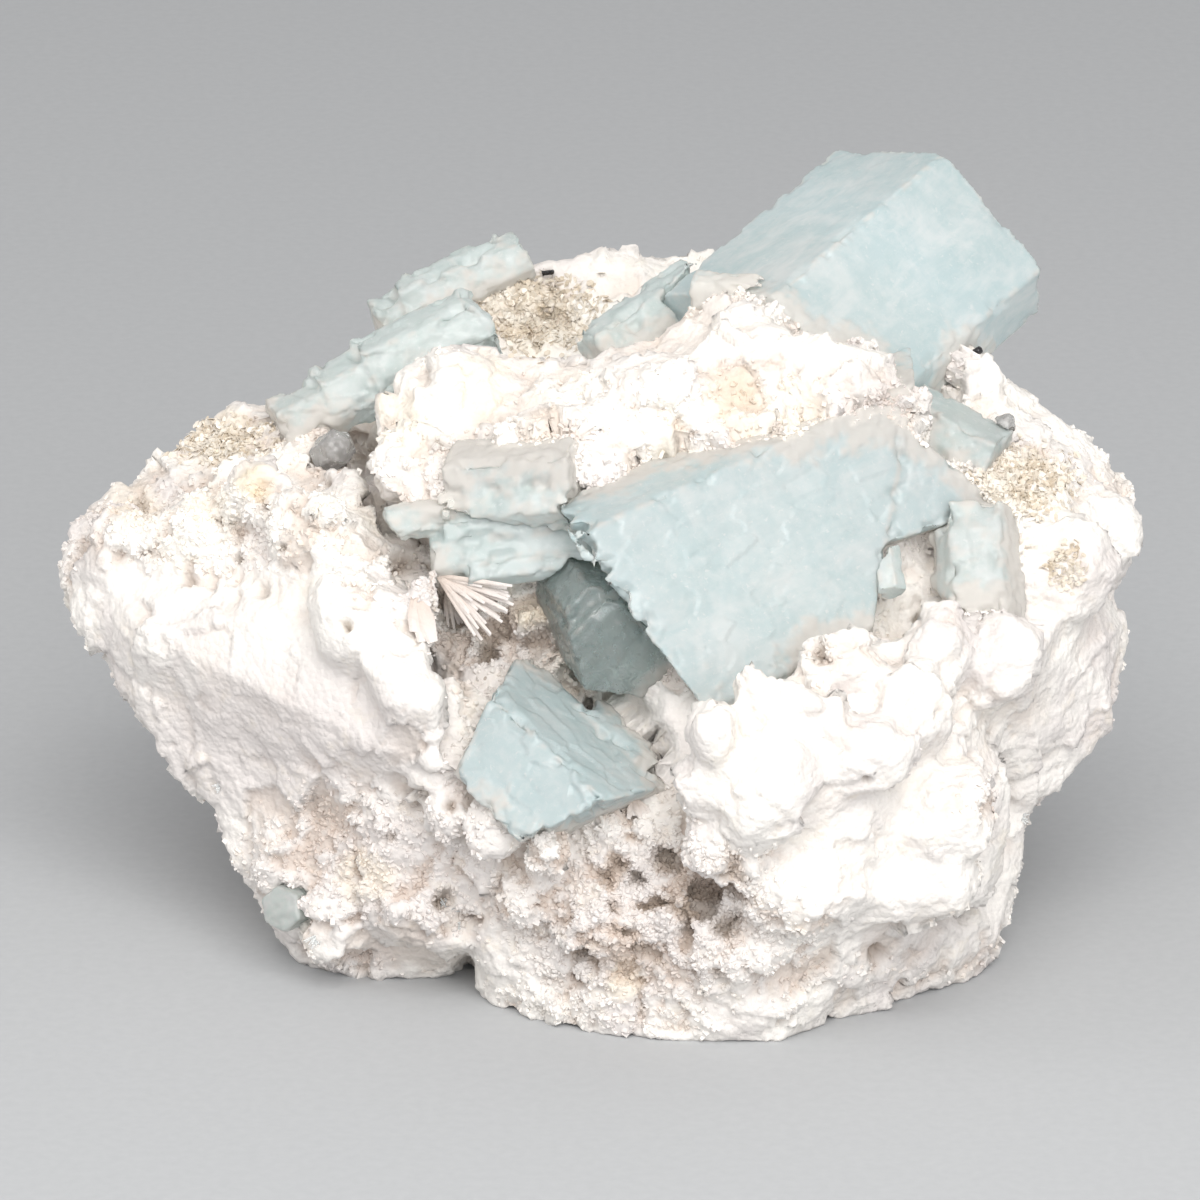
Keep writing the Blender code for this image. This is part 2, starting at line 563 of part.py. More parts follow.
def columns_of(crystal, grow=0.0):
    """The crystal's columns, each a closed convex bmesh, larger all round by grow."""
    root, end = seen(*crystal["root"]), seen(*crystal["end"])
    axis = (end - root).normalized()
    front = -INTO_THE_VIEW
    front = (front - front.dot(axis) * axis).normalized()
    front = Matrix.Rotation(math.radians(crystal["turn"]), 3, axis) @ front
    side = axis.cross(front)
    for sideways, forward, start, stop, reaches, breaks in crystal["columns"]:
        middle = root + MM * (sideways * side + forward * front)
        bm = bmesh.new()
        bmesh.ops.create_cube(bm, size=2.0 * BLANK * MM)
        bmesh.ops.translate(bm, verts=bm.verts, vec=middle + MM * stop * 0.5 * axis)
        for i, reach in enumerate(reaches):
            angle = math.tau * i / HEX_SIDES
            way = math.cos(angle) * front + math.sin(angle) * side
            slice_off(bm, middle + MM * (reach + grow) * way, way)
        slice_off(bm, middle + MM * (start - grow) * axis, -axis)
        slice_off(bm, middle + MM * (stop + grow) * axis, axis)
        for place, direction in breaks:
            way = heading(*direction)
            slice_off(bm, seen(*place) + MM * grow * way, way)
        bmesh.ops.recalc_face_normals(bm, faces=bm.faces)
        yield bm


def teeth_of(edge, inward, bites):
    """Wedges to take from a broken edge, so that it is jagged."""
    first, last = (seen(*place) for place in edge)
    inward = heading(*inward)
    along = (last - first).normalized()
    through = along.cross(inward).normalized() * TOOTH_REACH * MM
    for where, width, depth in bites:
        middle = first.lerp(last, where)
        corners = (
            middle - MM * width * along - MM * inward,
            middle + MM * width * along - MM * inward,
            middle + MM * depth * inward,
        )
        bm = bmesh.new()
        add_hull(bm, [c + way for c in corners for way in (through, -through)])
        bmesh.ops.recalc_face_normals(bm, faces=bm.faces)
        yield bm


def make_crystal(name, crystal):
    columns = list(columns_of(crystal))
    obj = link(name, columns[0])
    for column in columns[1:]:
        combine(obj, column, "UNION")
    for tooth in teeth_of(**crystal["teeth"]) if "teeth" in crystal else ():
        combine(obj, tooth, "DIFFERENCE")
    return obj


def surface_finder(obj):
    """A function that finds where the object is first met at a place of the front view."""
    bm = bmesh.new()
    bm.from_mesh(obj.data)
    tree = BVHTree.FromBMesh(bm)
    bm.free()

    def find(right, up):
        near, far = seen(right, up, -90.0), seen(right, up, 60.0)
        place, normal, _, _ = tree.ray_cast(near, (far - near).normalized())
        if place is None:
            raise ValueError(f"no albite at {right}, {up}")
        return place, normal

    return find


def hexagon(place, way, half_width, start, stop, tip=0.0):
    """A six-sided crystal about the way from the place, as a closed bmesh."""
    side = way.orthogonal().normalized()
    across = way.cross(side)
    bm = bmesh.new()
    corners = []
    for along, width in ((start, half_width), (stop - tip, half_width), (stop, half_width * 0.3)):
        if tip == 0.0 and along == stop:
            width = half_width
        for i in range(HEX_SIDES):
            angle = math.tau * i / HEX_SIDES
            out = math.cos(angle) * side + math.sin(angle) * across
            corners.append(place + MM * (along * way + width / math.cos(math.pi / 6.0) * out))
    if tip == 0.0:
        corners = corners[:HEX_SIDES] + corners[-HEX_SIDES:]
    add_hull(bm, corners)
    bmesh.ops.recalc_face_normals(bm, faces=bm.faces)
    return bm


def grain_of(find, grain, grow=0.0):
    place, _ = find(*grain["at"])
    start, stop = -grain["set_in"] - grow, grain["length"] - grain["set_in"] + grow
    way = heading(*grain["way"])
    return hexagon(place, way, grain["half_width"] + grow, start, stop, grain["tip"])


def flakes_of(find, crust, grow=0.0):
    """The flakes of a crust of mica, each a closed bmesh, lying on the albite."""
    for number, (right, up, half_width) in enumerate(crust["flakes"]):
        place, normal = find(right, up)
        noise.seed_set(crust["seed"] * 100 + number)
        way = (normal + crust["tilt"] * noise.random_unit_vector()).normalized()
        rise, half = FLAKE_RISE, FLAKE_THICKNESS * 0.5 + grow
        yield hexagon(place, way, half_width + grow, rise - half, rise + half)


def make_matrix():
    bm = bmesh.new()
    for seen_corners, standing_corners in BLOCKS.values():
        corners = [seen(*corner) for corner in seen_corners]
        corners += [MM * Vector(corner) for corner in standing_corners]
        add_hull(bm, corners)
    for right, up, back, radius, longer, angle in KNOBS:
        turned = Matrix.Rotation(math.radians(angle), 3, INTO_THE_VIEW * -1.0)
        long_way = turned @ TO_THE_RIGHT
        frame = Matrix((long_way, INTO_THE_VIEW.cross(long_way), INTO_THE_VIEW)).transposed()
        size = Matrix.Diagonal((MM * radius * longer, MM * radius, MM * radius))
        place = Matrix.Translation(seen(right, up, back)) @ (frame @ size).to_4x4()
        bmesh.ops.create_icosphere(bm, subdivisions=2, radius=1.0, matrix=place)
    bmesh.ops.recalc_face_normals(bm, faces=bm.faces)
    obj = link("albite_matrix", bm)
    remesh = obj.modifiers.new("Remesh", "REMESH")
    remesh.mode = "VOXEL"
    remesh.voxel_size = VOXEL * MM
    apply_modifiers(obj)
    mend(obj)
    roughen(obj.data)
    count = sum(len(face.vertices) - 2 for face in obj.data.polygons)
    decimate = obj.modifiers.new("Decimate", "DECIMATE")
    decimate.ratio = MATRIX_TRIANGLES / count
    apply_modifiers(obj)
    mend(obj)
    bm = bmesh.new()
    bm.from_mesh(obj.data)
    slice_off(bm, Vector((0.0, 0.0, 0.0)), Vector((0.0, 0.0, -1.0)))
    bm.to_mesh(obj.data)
    bm.free()
    return obj


def roughen(mesh):
    """Swells and dents the albite, so that its faces are lumpy and its edges broken."""
    hollows = [(seen(*h[:3]), MM * h[3], MM * h[4]) for h in HOLLOWS]
    moved = []
    for vertex in mesh.vertices:
        place = vertex.co / MM
        distances, _ = noise.voronoi(place / LUMP_SIZE)
        lump = LUMP_HEIGHT * (0.55 - distances[0])
        swell = SWELL_HEIGHT * noise.noise(place / SWELL_SIZE)
        grain = GRAIN_HEIGHT * noise.noise(place / GRAIN_SIZE)
        out = MM * (lump + swell + grain)
        for middle, reach, depth in hollows:
            near = (vertex.co - middle).length / reach
            if near < 1.0:
                out -= depth * (1.0 - near * near) ** 2
        moved.append(vertex.co + out * vertex.normal)
    for vertex, place in zip(mesh.vertices, moved):
        vertex.co = place
    mesh.update()


def make_material(name, rgb, roughness, transmission=0.0):
    material = bpy.data.materials.new(name)
    material.use_nodes = True
    shader = material.node_tree.nodes["Principled BSDF"]
    shader.inputs["Base Color"].default_value = (*rgb, 1.0)
    shader.inputs["Roughness"].default_value = roughness
    shader.inputs["Transmission Weight"].default_value = transmission
    return material


def add_piece(name, obj, sockets_of, before, matrix):
    """Clears the piece of those before it, and seats it in the albite."""
    for sockets in before:
        for socket in sockets():
            combine(obj, socket, "DIFFERENCE")
    keep_largest(obj)
    for socket in sockets_of():
        combine(matrix, socket, "DIFFERENCE")
    before.append(sockets_of)
    kind = name.split("_")[0]
    if name in MATERIALS:
        kind = name
    colour, roughness, transmission = MATERIALS[kind]
    obj.data.materials.clear()
    obj.data.materials.append(make_material(name, colour, roughness, transmission))


def main():
    clear_scene()
    matrix = make_matrix()
    find = surface_finder(matrix)
    before = []
    for name, crystal in CRYSTALS.items():
        sockets = partial(columns_of, crystal, SOCKET_GAP)
        add_piece(name, make_crystal(name, crystal), sockets, before, matrix)
    for name, grain in GRAINS.items():
        sockets = partial(lambda grain: [grain_of(find, grain, SOCKET_GAP)], grain)
        add_piece(name, link(name, grain_of(find, grain)), sockets, before, matrix)
    for name, crust in CRUSTS.items():
        first, *rest = flakes_of(find, crust)
        obj = link(name, first)
        for flake in rest:
            combine(obj, flake, "UNION")
        sockets = partial(flakes_of, find, crust, SOCKET_GAP)
        add_piece(name, obj, sockets, before, matrix)
    keep_largest(matrix)
    matrix.data.materials.clear()
    matrix.data.materials.append(make_material("albite", *MATERIALS["albite"]))


if __name__ == "__main__":
    main()
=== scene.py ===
"""Aquamarine crystals on white albite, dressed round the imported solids.

Lengths are in millimetres unless a comment says otherwise, and MM turns them to metres. A
place on the front of the specimen is given as it is seen there: right of and above the
middle of the base, and for a few, how far behind it.
"""

import json
import math
import random

import bmesh
import bpy
import numpy as np
from bpy.props import FloatProperty, FloatVectorProperty, IntProperty, PointerProperty
from mathutils import Matrix, Vector, noise
from mathutils.bvhtree import BVHTree
from mathutils.kdtree import KDTree

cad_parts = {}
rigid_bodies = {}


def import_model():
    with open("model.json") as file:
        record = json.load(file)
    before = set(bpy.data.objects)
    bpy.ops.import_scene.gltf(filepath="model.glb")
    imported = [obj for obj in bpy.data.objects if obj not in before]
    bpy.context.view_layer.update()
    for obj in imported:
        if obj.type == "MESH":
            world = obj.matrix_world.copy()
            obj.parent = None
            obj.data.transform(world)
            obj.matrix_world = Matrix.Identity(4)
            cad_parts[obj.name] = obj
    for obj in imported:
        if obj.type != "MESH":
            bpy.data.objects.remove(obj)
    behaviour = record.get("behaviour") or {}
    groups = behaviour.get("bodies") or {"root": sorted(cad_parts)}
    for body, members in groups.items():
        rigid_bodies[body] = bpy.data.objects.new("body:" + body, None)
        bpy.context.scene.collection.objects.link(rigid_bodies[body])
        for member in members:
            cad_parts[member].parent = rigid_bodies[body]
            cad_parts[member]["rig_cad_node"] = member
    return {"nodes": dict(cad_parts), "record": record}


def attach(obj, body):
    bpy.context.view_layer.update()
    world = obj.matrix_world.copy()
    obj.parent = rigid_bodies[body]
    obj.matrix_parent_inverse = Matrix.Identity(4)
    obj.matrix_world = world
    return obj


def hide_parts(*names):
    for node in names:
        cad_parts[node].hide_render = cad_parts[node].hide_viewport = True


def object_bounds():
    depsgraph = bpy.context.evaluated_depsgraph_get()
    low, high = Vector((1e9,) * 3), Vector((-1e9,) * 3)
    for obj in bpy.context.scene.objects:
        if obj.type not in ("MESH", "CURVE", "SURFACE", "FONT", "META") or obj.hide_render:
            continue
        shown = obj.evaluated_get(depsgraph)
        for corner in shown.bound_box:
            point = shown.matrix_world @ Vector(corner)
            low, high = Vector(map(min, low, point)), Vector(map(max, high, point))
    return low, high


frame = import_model()

bl_info = {
    "name": "Aquamarine on albite",
    "version": (1, 0, 0),
    "blender": (4, 5, 0),
    "location": "View3D > Sidebar > Specimen",
    "description": "Dresses a crystal specimen: sugary rock, milky beryl, mica and a plain stage",
    "category": "Object",
}

MM = 0.001
CAD_BOX = [list(corner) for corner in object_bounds()]

# The front view, which looks down on the specimen from a metre away
VIEW_ELEVATION = math.radians(20.0)
VIEW_DISTANCE = 1000.0
VIEW_CENTRE_UP = 35.7
TO_THE_RIGHT = Vector((1.0, 0.0, 0.0))
UP_THE_VIEW = Vector((0.0, math.sin(VIEW_ELEVATION), math.cos(VIEW_ELEVATION)))
INTO_THE_VIEW = Vector((0.0, math.cos(VIEW_ELEVATION), -math.sin(VIEW_ELEVATION)))

# Fingers, eggs and ribs of albite that stand out of the rock: right, up, half length,
# radius, and how many degrees the long way rises to the right
RODS = (
    (19.3, 26.4, 3.6, 1.4, -32), (15.1, 25.1, 2.5, 1.4, -50), (13.0, 26.9, 1.8, 1.2, -50),
    (23.7, 24.1, 2.6, 1.2, 75), (25.0, 21.5, 2.0, 1.2, 80), (12.0, 21.9, 3.0, 2.2, 80),
    (29.6, 26.6, 2.4, 1.4, 60), (-7.7, 34.0, 1.6, 1.3, 60),
    (-31.4, 41.0, 2.9, 0.8, 60), (-29.8, 41.6, 3.2, 0.8, 62), (-28.2, 42.4, 3.0, 0.8, 64),
    (-33.4, 44.6, 2.0, 1.2, 70), (-1.0, 48.9, 1.5, 1.3, 0), (2.0, 50.4, 2.2, 1.6, 20),
    (-17.4, 35.2, 2.4, 1.1, 80), (-16.0, 32.0, 2.0, 1.2, 70),
)
# Rock that fills the hollows beside the crystals: right, up, how far behind, radius
FILLS = (
    (-15.8, 18.2, -21.5, 3.6), (-14.4, 14.6, -23.0, 3.0), (-15.6, 22.0, -20.5, 3.2),
    (-14.6, 25.6, -19.5, 2.8), (-10.6, 12.6, -26.0, 2.8), (-5.0, 10.6, -27.5, 2.6),
    (1.6, 13.6, -25.0, 2.4), (6.0, 50.0, -16.5, 2.6), (10.0, 50.4, -18.0, 2.5),
    (13.4, 51.0, -18.4, 2.2), (2.0, 48.6, -19.5, 2.0), (37.0, 34.6, -10.0, 3.0),
    (31.0, 35.0, -8.0, 3.0), (33.0, 36.8, -10.0, 3.4), (43.2, 35.4, -13.0, 2.4),
    (-19.8, 38.8, -13.0, 3.6), (42.7, 35.6, 7.3, 6.0), (42.4, 34.9, 13.9, 6.0),
    (42.2, 35.6, 19.0, 5.5), (42.0, 34.8, 23.0, 5.0),
)
# Pits: right, up, radius, depth, and how strongly painted shade darkens them, from 0 to 1
PITS = (
    (-48.4, 40.3, 0.9, 0.8, 0.5), (-33.8, 44.8, 0.6, 1.0, 0.8), (-36.3, 40.0, 0.8, 0.9, 0.8),
    (-32.2, 40.8, 0.5, 0.8, 1.0), (-41.6, 37.7, 0.8, 0.8, 0.5), (-34.1, 36.8, 0.8, 1.0, 0.6),
    (-26.2, 49.5, 0.8, 1.6, 1.0), (-27.5, 47.5, 0.5, 1.0, 0.9), (-25.5, 33.1, 0.8, 2.0, 0.8),
    (-14.8, 34.9, 2.2, 2.4, 1.0), (-19.1, 39.5, 2.4, 1.4, 0.7), (-16.4, 51.5, 0.6, 0.8, 0.7),
    (-15.6, 5.5, 1.3, 2.2, 1.0), (-14.2, 3.4, 1.8, 1.2, 0.4), (10.0, 5.7, 2.4, 2.6, 0.8),
    (12.5, 3.2, 1.8, 2.4, 0.9), (3.7, 7.7, 1.0, 1.6, 0.8), (1.2, 5.2, 0.9, 1.2, 0.8),
    (3.0, 2.3, 0.9, 1.2, 1.0), (-2.1, 0.1, 0.9, 1.2, 0.7), (-15.2, 15.3, 0.9, 1.4, 0.9),
    (-18.5, 15.7, 1.4, 0.8, 0.6), (28.2, -0.2, 1.0, 1.8, 0.9), (21.4, 31.1, 1.2, 2.0, 0.9),
    (6.4, 9.6, 1.5, 1.8, 0.9), (8.4, 2.2, 1.0, 1.4, 0.8), (-11.4, 30.6, 1.4, 2.0, 1.0),
    (-9.6, 27.6, 1.0, 1.4, 0.8), (-21.0, 12.0, 0.8, 0.9, 0.5), (-45.9, 45.4, 1.0, 0.7, 0.7),
    (26.6, 17.6, 0.6, 1.0, 0.6), (37.4, 20.2, 0.7, 1.0, 0.5), (-12.4, 44.4, 0.8, 0.7, 0.4),
    (37.4, 60.7, 1.1, 1.2, 0.0),
)
# Where the rock lies further back, to bare the side of a crystal: right, up, radius, depth
BARED = (
    (1.6, 24.8, 4.0, 6.0), (4.2, 20.8, 3.0, 5.5), (-2.0, 27.8, 3.0, 4.0), (-6.6, 30.4, 2.4, 2.5),
)
# Painted shade on the undercut and low faces, as greyer patches: right, up, reach each way,
# strength
SHADED_PATCHES = (
    (-32.0, 22.0, 18.0, 9.0, 0.9), (-22.0, 9.0, 16.0, 9.0, 0.8), (4.0, 4.0, 15.0, 10.0, 0.8),
    (32.0, 3.0, 14.0, 8.0, 0.3), (7.0, 21.0, 4.0, 6.0, 0.7), (-15.0, 46.0, 9.0, 4.0, 0.5),
)
# Warm stains: right, up, radius and strength
STAINS = (
    (-34.4, 47.6, 2.2, 1.0), (-38.6, 44.0, 3.6, 0.5), (-42.0, 40.6, 3.0, 0.4),
    (-46.6, 45.2, 3.4, 0.6), (-22.4, 44.4, 3.0, 0.4), (-20.0, 53.6, 4.0, 0.6),
    (-12.0, 57.0, 4.0, 0.7), (13.6, 56.0, 3.4, 0.9), (7.0, 52.0, 3.0, 0.5),
    (19.6, 55.4, 4.0, 0.6), (2.6, -2.4, 2.0, 0.9), (43.0, 47.4, 4.4, 0.6),
    (35.6, 52.6, 2.4, 0.7), (-6.0, 55.0, 3.4, 0.4), (-23.6, 8.0, 3.4, 0.6),
    (30.0, 17.0, 3.4, 0.3), (-7.6, 34.4, 1.8, 0.9), (18.0, 20.0, 4.0, 0.25),
    (43.0, 40.0, 4.0, 0.3), (-38.0, 52.4, 3.4, 0.8), (-6.6, 63.8, 4.6, 0.8),
)
# Patches that are sugary, and those that are smooth: right, up, reach each way, strength
SUGARY = (
    (4.0, 6.0, 17.0, 11.0, 1.0), (-24.0, 10.0, 16.0, 9.0, 0.7), (-40.0, 43.0, 14.0, 7.0, 0.7),
    (-14.0, 34.0, 7.0, 7.0, 0.8), (8.0, 56.0, 26.0, 6.0, 0.5), (-20.0, 50.0, 9.0, 6.0, 0.5),
    (44.0, 47.0, 8.0, 6.0, 0.5), (30.0, 0.0, 14.0, 4.0, 0.5), (-2.0, -6.0, 18.0, 5.0, 0.7),
)
SMOOTH = (
    (-32.0, 27.0, 17.0, 9.0, 1.0), (22.0, 18.0, 15.0, 12.0, 0.9), (32.0, 8.0, 13.0, 8.0, 0.8),
    (46.0, 33.0, 8.0, 12.0, 0.8), (-46.0, 33.0, 9.0, 6.0, 0.7), (6.4, 22.0, 3.4, 5.0, 1.0),
)
# Open, pitted patches, in the same way
VUGS = (
    (6.0, 6.0, 10.0, 7.0, 1.0), (-1.0, 0.5, 8.0, 4.0, 0.7), (-14.5, 34.0, 4.0, 5.0, 0.8),
    (-15.0, 4.6, 3.0, 3.0, 0.9), (12.0, 1.0, 5.0, 5.0, 0.6), (-24.6, 8.4, 4.0, 3.0, 0.5),
    (-18.6, 39.6, 4.0, 1.6, 0.9), (22.0, 31.0, 1.6, 3.0, 0.8), (-9.6, 31.0, 3.6, 4.6, 0.8),
    (-12.6, 31.6, 2.4, 6.0, 0.8), (-8.0, 13.0, 7.0, 1.6, 0.7), (4.4, 16.4, 2.0, 1.6, 0.8),
)
# The rock's skin is five pieces, cut at ROCK_BACK in y, ROCK_MIDDLE in x and ROCK_LEVEL in z
ROCK_PARTS = ("left", "low", "high", "back_left", "back_right")
ROCK_BACK = 18.0
ROCK_MIDDLE = -6.0
ROCK_LEVEL = 30.0
PAST_BOX = 0.4  # how far the rock's skin may reach past the solids' box
SUNK = 0.12  # how deep the rock's skin dips into a crystal that it grows on
NEAR_CRYSTAL = 3.2  # rock nearer to a crystal than this is crusted with grains
# Mica patches: right, up, reach each way
MICA = (
    (-6.4, 64.4, 6.4, 3.6), (41.6, 47.6, 5.4, 3.2), (-38.0, 51.8, 4.6, 2.0),
    (46.6, 39.2, 1.8, 2.4),
)
# Fans of blades: right, up, heading above the horizontal and spread in degrees, how many,
# length, width
FANS = (
    (-16.2, 38.0, -34, 50, 34, 8.0, 0.5), (-15.4, 36.8, -60, 64, 22, 4.5, 0.4),
    (-18.2, 36.0, -84, 20, 3, 6.5, 1.8), (-20.4, 39.4, 170, 50, 5, 2.6, 0.6),
    (-26.4, 48.6, -60, 80, 5, 2.2, 0.5),
    (3.4, 15.6, -70, 60, 7, 2.6, 0.7),
)
# Sprays of clear needles, in the same way
SPRAYS = (
    (-28.4, 2.2, -110, 90, 9, 1.6, 0.22), (-15.2, 4.6, 70, 150, 13, 1.5, 0.20),
    (-14.6, 3.2, -60, 150, 11, 1.3, 0.20), (-38.0, 17.0, 190, 90, 7, 1.1, 0.2),
    (42.0, 14.0, 0, 90, 7, 1.1, 0.2),
)

# What each aquamarine is like: how fine its mesh is, how deep its grooves, its etching and
# the chips of its edges are, how milky it is from 0 to 1, how much albite crusts it, and
# which material it has.
AQUAMARINES = {
    "aquamarine_main": (0.28, 0.02, 0.03, 0.40, 0.60, 0.00, "milky"),
    "aquamarine_broad": (0.28, 0.03, 0.07, 0.60, 0.35, 0.06, "milky"),
    "aquamarine_front": (0.26, 0.03, 0.13, 0.90, 0.25, 0.00, "milky"),
    "aquamarine_dark": (0.26, 0.04, 0.10, 0.50, 0.20, -0.20, "clear"),
    "aquamarine_blades": (0.24, 0.04, 0.08, 0.50, 0.40, 0.15, "pale"),
    "aquamarine_embedded": (0.26, 0.02, 0.10, 0.80, 0.45, 0.48, "pale"),
    "aquamarine_shoulder": (0.26, 0.04, 0.18, 1.00, 0.40, 0.15, "pale"),
    "aquamarine_back": (0.26, 0.04, 0.18, 1.00, 0.35, 0.10, "pale"),
    "aquamarine_saddle": (0.26, 0.04, 0.12, 0.80, 0.35, 0.20, "pale"),
    "aquamarine_flank": (0.22, 0.04, 0.12, 0.50, 0.50, 0.40, "pale"),
    "aquamarine_under": (0.26, 0.04, 0.08, 0.60, 0.10, -0.20, "pale"),
    "aquamarine_right": (0.26, 0.02, 0.10, 0.80, 0.50, 0.36, "pale"),
    "aquamarine_blade": (0.20, 0.04, 0.06, 0.25, 0.50, 0.20, "pale"),
}
DUST_REACH = 4.0  # how far from the rock its crust reaches over a crystal
CHIP_REACH = 1.4  # how far in from a sharp edge it is chipped
EDGE_STEP = 0.4  # between the points that stand for a sharp edge
SHARP = math.radians(22.0)  # edges that turn more than this are sharp
FLAT = math.radians(0.4)  # faces that turn less than this are one
SAME_WAY = 0.9995  # the cosine above which two edges are parallel
LONGEST_EDGES = 60  # that are tried as a crystal's long way
WELD = 0.002  # corners nearer than this are one
VIEW_REACH = 90.0  # a line of sight starts this far in front of the middle
FLOOR_HALF = 6.0  # in metres
LIT_PLACE = Vector((0.0, 0.0, 0.035))  # the specimen's middle, in metres


def linear(code):
    """The linear colour of an sRGB hex value."""
    parts = [int(code[i : i + 2], 16) / 255.0 for i in (1, 3, 5)]
    return [c / 12.92 if c <= 0.04045 else ((c + 0.055) / 1.055) ** 2.4 for c in parts]


def colour_of(name, code, description):
    """A colour that a user can change."""
    return FloatVectorProperty(
        name=name, description=description, subtype="COLOR", size=3, min=0.0, max=1.0,
        default=linear(code),
    )


def length_of(name, millimetres, description):
    """A length that a user can change."""
    return FloatProperty(
        name=name, description=description, subtype="DISTANCE", unit="LENGTH",
        default=millimetres * MM, min=0.00005, precision=5,
    )


class RockSettings(bpy.types.PropertyGroup):
    """The albite."""

    fineness: length_of("Fineness", 0.42, "Side of the small faces of the rock's skin")
    swell: length_of("Swell", 0.45, "Height of the broad lumps")
    lump: length_of("Lumps", 0.32, "Height of the rounded lumps")
    sugar: length_of("Sugar relief", 0.24, "Height of the sugary relief")
    cleavage: FloatProperty(
        name="Cleavage", description="How steep the broken planes of the feldspar are",
        default=0.20, min=0.0,
    )
    grain: length_of("Grain", 0.42, "Width of one grain of the sugary albite")
    grains_each_mm2: FloatProperty(
        name="Grains", description="Grains on a square millimetre where it is sugary",
        default=3.0, min=0.0,
    )
    seed: IntProperty(name="Seed", description="Changes where the grains fall", default=7)
    bright: colour_of("Bright", "#f4f0ea", "Fresh white albite")
    # Greyer patches at random; the same colour is painted shade on the undercut and low faces
    shade: colour_of("Shade", "#dcd5d2", "Greyer, lilac patches")
    cream: colour_of("Cream", "#ebdcc0", "Warm stains")
    # Painted shade: the pinkish brown of the creases and the dark brown of the pits
    painted_crease_shade: colour_of("Crease", "#c8b5a6", "Pinkish brown that gathers in the creases")
    dirt: colour_of("Dirt", "#8f7f6f", "What lies in the pits")


class BerylSettings(bpy.types.PropertyGroup):
    """The aquamarines."""

    body: colour_of("Body", "#daeaec", "The blue of the crystals")
    veil: colour_of("Veils", "#f5fafa", "The white veils and streaks")
    pale: colour_of("Pale body", "#dce7e5", "The paler, greyer crystals")
    deep: colour_of("Depth", "#abd1d2", "The blue that gathers with thickness")
    # A darker body, as painted shade: this crystal lies in the shadow under the broad one
    dark: colour_of("Dark body", "#d2dfdd", "The clear dark crystal")


class SmallSettings(bpy.types.PropertyGroup):
    """The mica and the small crystals."""

    flake: length_of("Mica flake", 0.65, "Width of one flake of mica")
    flakes_each_mm2: FloatProperty(
        name="Mica flakes", description="Flakes on a square millimetre", default=7.0, min=0.0
    )
    mica: colour_of("Mica", "#d2c4b0", "Silvery tan mica")
    quartz: colour_of("Quartz", "#c4c2c0", "Smoky quartz")
    tourmaline: colour_of("Tourmaline", "#17171a", "Black tourmaline")


class StageSettings(bpy.types.PropertyGroup):
    """The floor and the lights."""

    floor: colour_of("Floor", "#b4b6b8", "The pale paper that the specimen stands on")
    key_power: FloatProperty(
        name="Key light", description="Power of the soft light above", default=4.0, unit="POWER"
    )
    fill_power: FloatProperty(
        name="Fill light", description="Power of the soft light in front", default=2.8, unit="POWER"
    )


def seen(right, up, back):
    """The place, in metres, of a point given as it is seen from the front."""
    nearness = 1.0 + back / VIEW_DISTANCE
    height = VIEW_CENTRE_UP + (up - VIEW_CENTRE_UP) * nearness
    return MM * (right * nearness * TO_THE_RIGHT + height * UP_THE_VIEW + back * INTO_THE_VIEW)


def seen_places(points):
    """Right and up, as seen from the front, of an array of places in millimetres."""
    back = points @ np.array(INTO_THE_VIEW)
    nearness = 1.0 + back / VIEW_DISTANCE
    right = points[:, 0] / nearness
    up = VIEW_CENTRE_UP + (points @ np.array(UP_THE_VIEW) - VIEW_CENTRE_UP) / nearness
    return right, up


def eased(low, high, values):
    """0 below low, 1 above high, and smooth between."""
    t = np.clip((values - low) / (high - low), 0.0, 1.0)
    return t * t * (3.0 - 2.0 * t)


def patched(right, up, patches, facing):
    """How much each place lies in the patches: right, up, reach each way, strength."""
    total = np.zeros(len(right))
    for patch_right, patch_up, reach_right, reach_up, strength in patches:
        far = ((right - patch_right) / reach_right) ** 2 + ((up - patch_up) / reach_up) ** 2
        total = np.maximum(total, strength * np.exp(-(far**2)))
    return total * facing


def merged_copy(node):
    """The node's mesh as a bmesh with its loose triangles joined."""
    bm = bmesh.new()
    bm.from_mesh(frame["nodes"][node].data)
    bmesh.ops.remove_doubles(bm, verts=bm.verts, dist=WELD * MM)
    return bm


def link(name, bm):
    """A new object with the bmesh, which is freed."""
    mesh = bpy.data.meshes.new(name)
    bm.to_mesh(mesh)
    bm.free()
    obj = bpy.data.objects.new(name, mesh)
    bpy.context.scene.collection.objects.link(obj)
    return obj


def plain_mesh(obj):
    """Makes the object's mesh the one that its modifiers give, and drops them."""
    bpy.context.view_layer.update()
    graph = bpy.context.evaluated_depsgraph_get()
    mesh = bpy.data.meshes.new_from_object(obj.evaluated_get(graph))
    before = obj.data
    obj.modifiers.clear()
    obj.data = mesh
    bpy.data.meshes.remove(before)
    mesh.name = obj.name


def fine_skin(obj, side, passes):
    """Covers a closed solid with a fine, even skin of small faces, softened a little."""
    remesh = obj.modifiers.new("Remesh", "REMESH")
    remesh.mode = "VOXEL"
    remesh.voxel_size = side
    soften = obj.modifiers.new("Soften", "SMOOTH")
    soften.iterations = passes
    soften.factor = 0.5
    plain_mesh(obj)


def points_of(mesh):
    """The vertices' places in millimetres, and their normals."""
    count = len(mesh.vertices)
    places = np.empty(count * 3, np.float32)
    normals = np.empty(count * 3, np.float32)
    mesh.vertices.foreach_get("co", places)
    mesh.vertex_normals.foreach_get("vector", normals)
    return places.reshape(-1, 3).astype(float) / MM, normals.reshape(-1, 3).astype(float)


def set_points(mesh, places):
    """Puts the vertices at the places, given in millimetres."""
    mesh.vertices.foreach_set("co", (places * MM).astype(np.float32).ravel())
    mesh.update()


